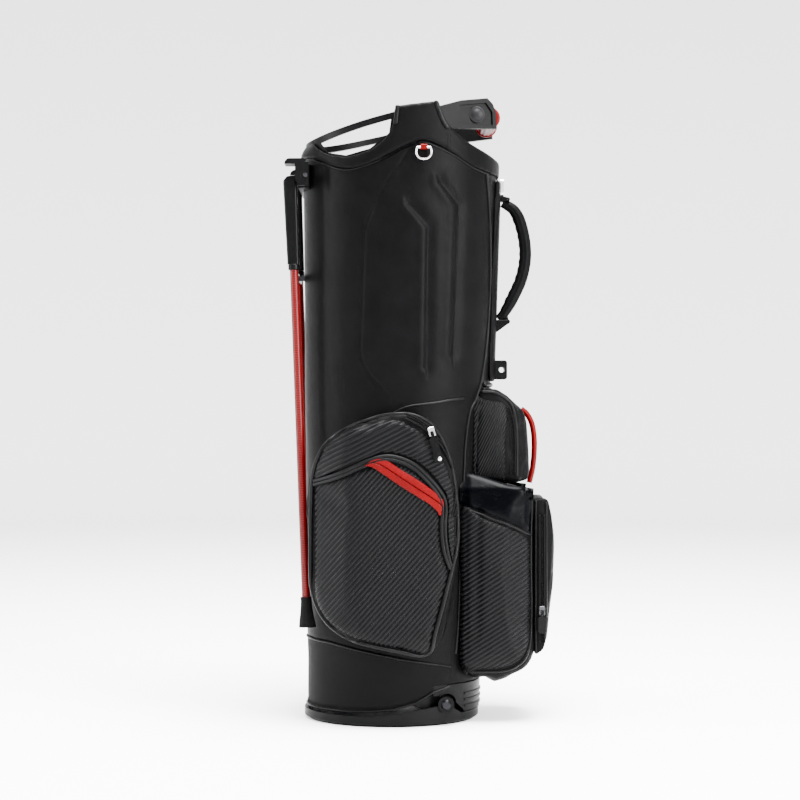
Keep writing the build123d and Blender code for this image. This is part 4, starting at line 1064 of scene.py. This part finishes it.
# ---------------------------------------------------------------- skirt between sole and trunk
SKIRT_LOW = mm((-150, 17), (-60, 17.5), (0, 22), (35, 32), (60, 46.5), (76, 51), (90, 57))
SKIRT_HIGH = mm((-150, 121.4), (-88, 117.4), (90, 82.2))


def skirt_point(turn, share, out):
    flat = trunk_point(turn, 0.07)
    low, high = level(SKIRT_LOW, flat.x), level(SKIRT_HIGH, flat.x)
    return trunk_point(turn, low + (high - low) * share, out)


def skirt():
    """A neoprene wall with a rolled welt at its foot, open at the heel."""
    open_turn = 0.856
    columns, rows = 320, 40
    bm = bmesh.new()
    sides = []
    for out in (-0.0005, -0.0030):
        grid = []
        for i in range(rows + 1):
            share = i / rows
            row = []
            for k in range(columns + 1):
                turn = open_turn + (2 * pi - 2 * open_turn) * k / columns
                place = trunk_point(turn, 0.07)
                sag = 0.0012 * noise.noise(Vector((place.x * 14, place.y * 14, share * 2.2)))
                row.append(bm.verts.new(skirt_point(turn, share, out + (sag - 0.0006) * sin(pi * share))))
            grid.append(row)
        sides.append(grid)
    outer, inner = sides
    for grid in sides:
        for low, high in zip(grid, grid[1:]):
            for k in range(columns):
                bm.faces.new((low[k], low[k + 1], high[k + 1], high[k]))
    for a, b in ((outer[0], inner[0]), (outer[-1], inner[-1])):
        for k in range(columns):
            bm.faces.new((a[k], a[k + 1], b[k + 1], b[k]))
    for k in (0, columns):
        for i in range(rows):
            bm.faces.new((outer[i][k], outer[i + 1][k], inner[i + 1][k], inner[i][k]))
    bmesh.ops.recalc_face_normals(bm, faces=bm.faces)
    return mesh_from("skirt_fabric", bm)


skirt_piece = add_object("skirt_fabric", skirt(), NEOPRENE, None, "skirt_fabric", ("base_skirt",))
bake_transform(skirt_piece)
turns = [0.87 + (2 * pi - 1.74) * k / 260 for k in range(261)]
bm = bmesh.new()
add_tube(bm, [skirt_point(turn, 0.03, 0.0006) for turn in turns], 0.0017)
add_tube(bm, [skirt_point(turn, 0.98, 0.0002) for turn in turns], 0.0014)
welt = add_object("skirt_welt", mesh_from("skirt_welt", bm), PIPING_LEATHER, None, "skirt_fabric")
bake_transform(welt)
turns = [0.87 + (2 * pi - 1.74) * k / 1100 for k in range(1101)]
bm = bmesh.new()
for share in (0.065, 0.085):
    add_stitches(bm, [skirt_point(turn, share, 0.0) for turn in turns])
skirt_stitches = add_object("skirt_stitching", mesh_from("skirt_stitching", bm), THREAD, None, "skirt_fabric")
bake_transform(skirt_stitches)

# ---------------------------------------------------------------- snap studs
def snap(name, centre, direction, radius, material):
    """A low domed snap stud with a rim."""
    profile = ((1.0, 0.0), (1.0, 0.18), (0.92, 0.30), (0.80, 0.26), (0.70, 0.30), (0.45, 0.46), (0.2, 0.54))
    top, around = 0.56, 28
    turn_to = Vector((0, 0, 1)).rotation_difference(Vector(direction))
    bm = bmesh.new()
    rings = []
    for share, rise in profile:
        ring = []
        for k in range(around):
            turn = 2 * pi * k / around
            spot = Vector((radius * share * cos(turn), radius * share * sin(turn), radius * rise))
            ring.append(bm.verts.new(Vector(centre) + turn_to @ spot))
        rings.append(ring)
    tip = bm.verts.new(Vector(centre) + turn_to @ Vector((0, 0, radius * top)))
    add_rings(bm, rings)
    for k in range(around):
        bm.faces.new((rings[-1][k], rings[-1][(k + 1) % around], tip))
    bm.faces.new(list(reversed(rings[0])))
    return add_object(name, mesh_from(name, bm), material, "trunk", "plate_metal")


stud_low, stud_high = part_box("strap_studs")
stud_x, stud_z = (stud_low[0] + stud_high[0]) / 2, (stud_low[2] + stud_high[2]) / 2
stud_radius = (stud_high[0] - stud_low[0]) / 2
for sign, side in ((NEAR, "near"), (FAR, "far")):
    spot = trunk_surface.side(0.042, 0.102, sign, -0.0004)
    snap(f"pocket_snap_{side}", spot, (0, sign, 0), 0.0035, CHROME)
    foot = Vector((stud_x, sign * (stud_high[1] - 0.006), stud_z))
    stud = snap(f"strap_stud_{side}", foot, (0, sign, 0), stud_radius, GREY_PLASTIC)
    if sign == NEAR:
        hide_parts("strap_studs")
    low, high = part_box(f"side_zip_pull_{side}")
    end = Vector((low[0] * 0.22 + high[0] * 0.78, sign * max(abs(low[1]), abs(high[1])), low[2] + 0.0055))
    dot = snap(f"pull_dot_{side}", end, (0, sign, 0), 0.0028, CHROME)
    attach(dot, f"side_pull_{side}")
anchors = softened("handle_anchors", ("handle_anchors",), 0.0012, 12, 0.0006)
for vert in anchors.vertices:
    reach = min(1.0, max(0.0, (0.171 - vert.co.x) / 0.022))
    if vert.co.z < 0.5765:
        vert.co.z -= 0.016 * reach
    elif vert.co.z > 0.7555:
        vert.co.z += 0.005 * reach
add_object("handle_anchor_patches", anchors, BLACK_LEATHER, "trunk", "handle_leather", ("handle_anchors",))
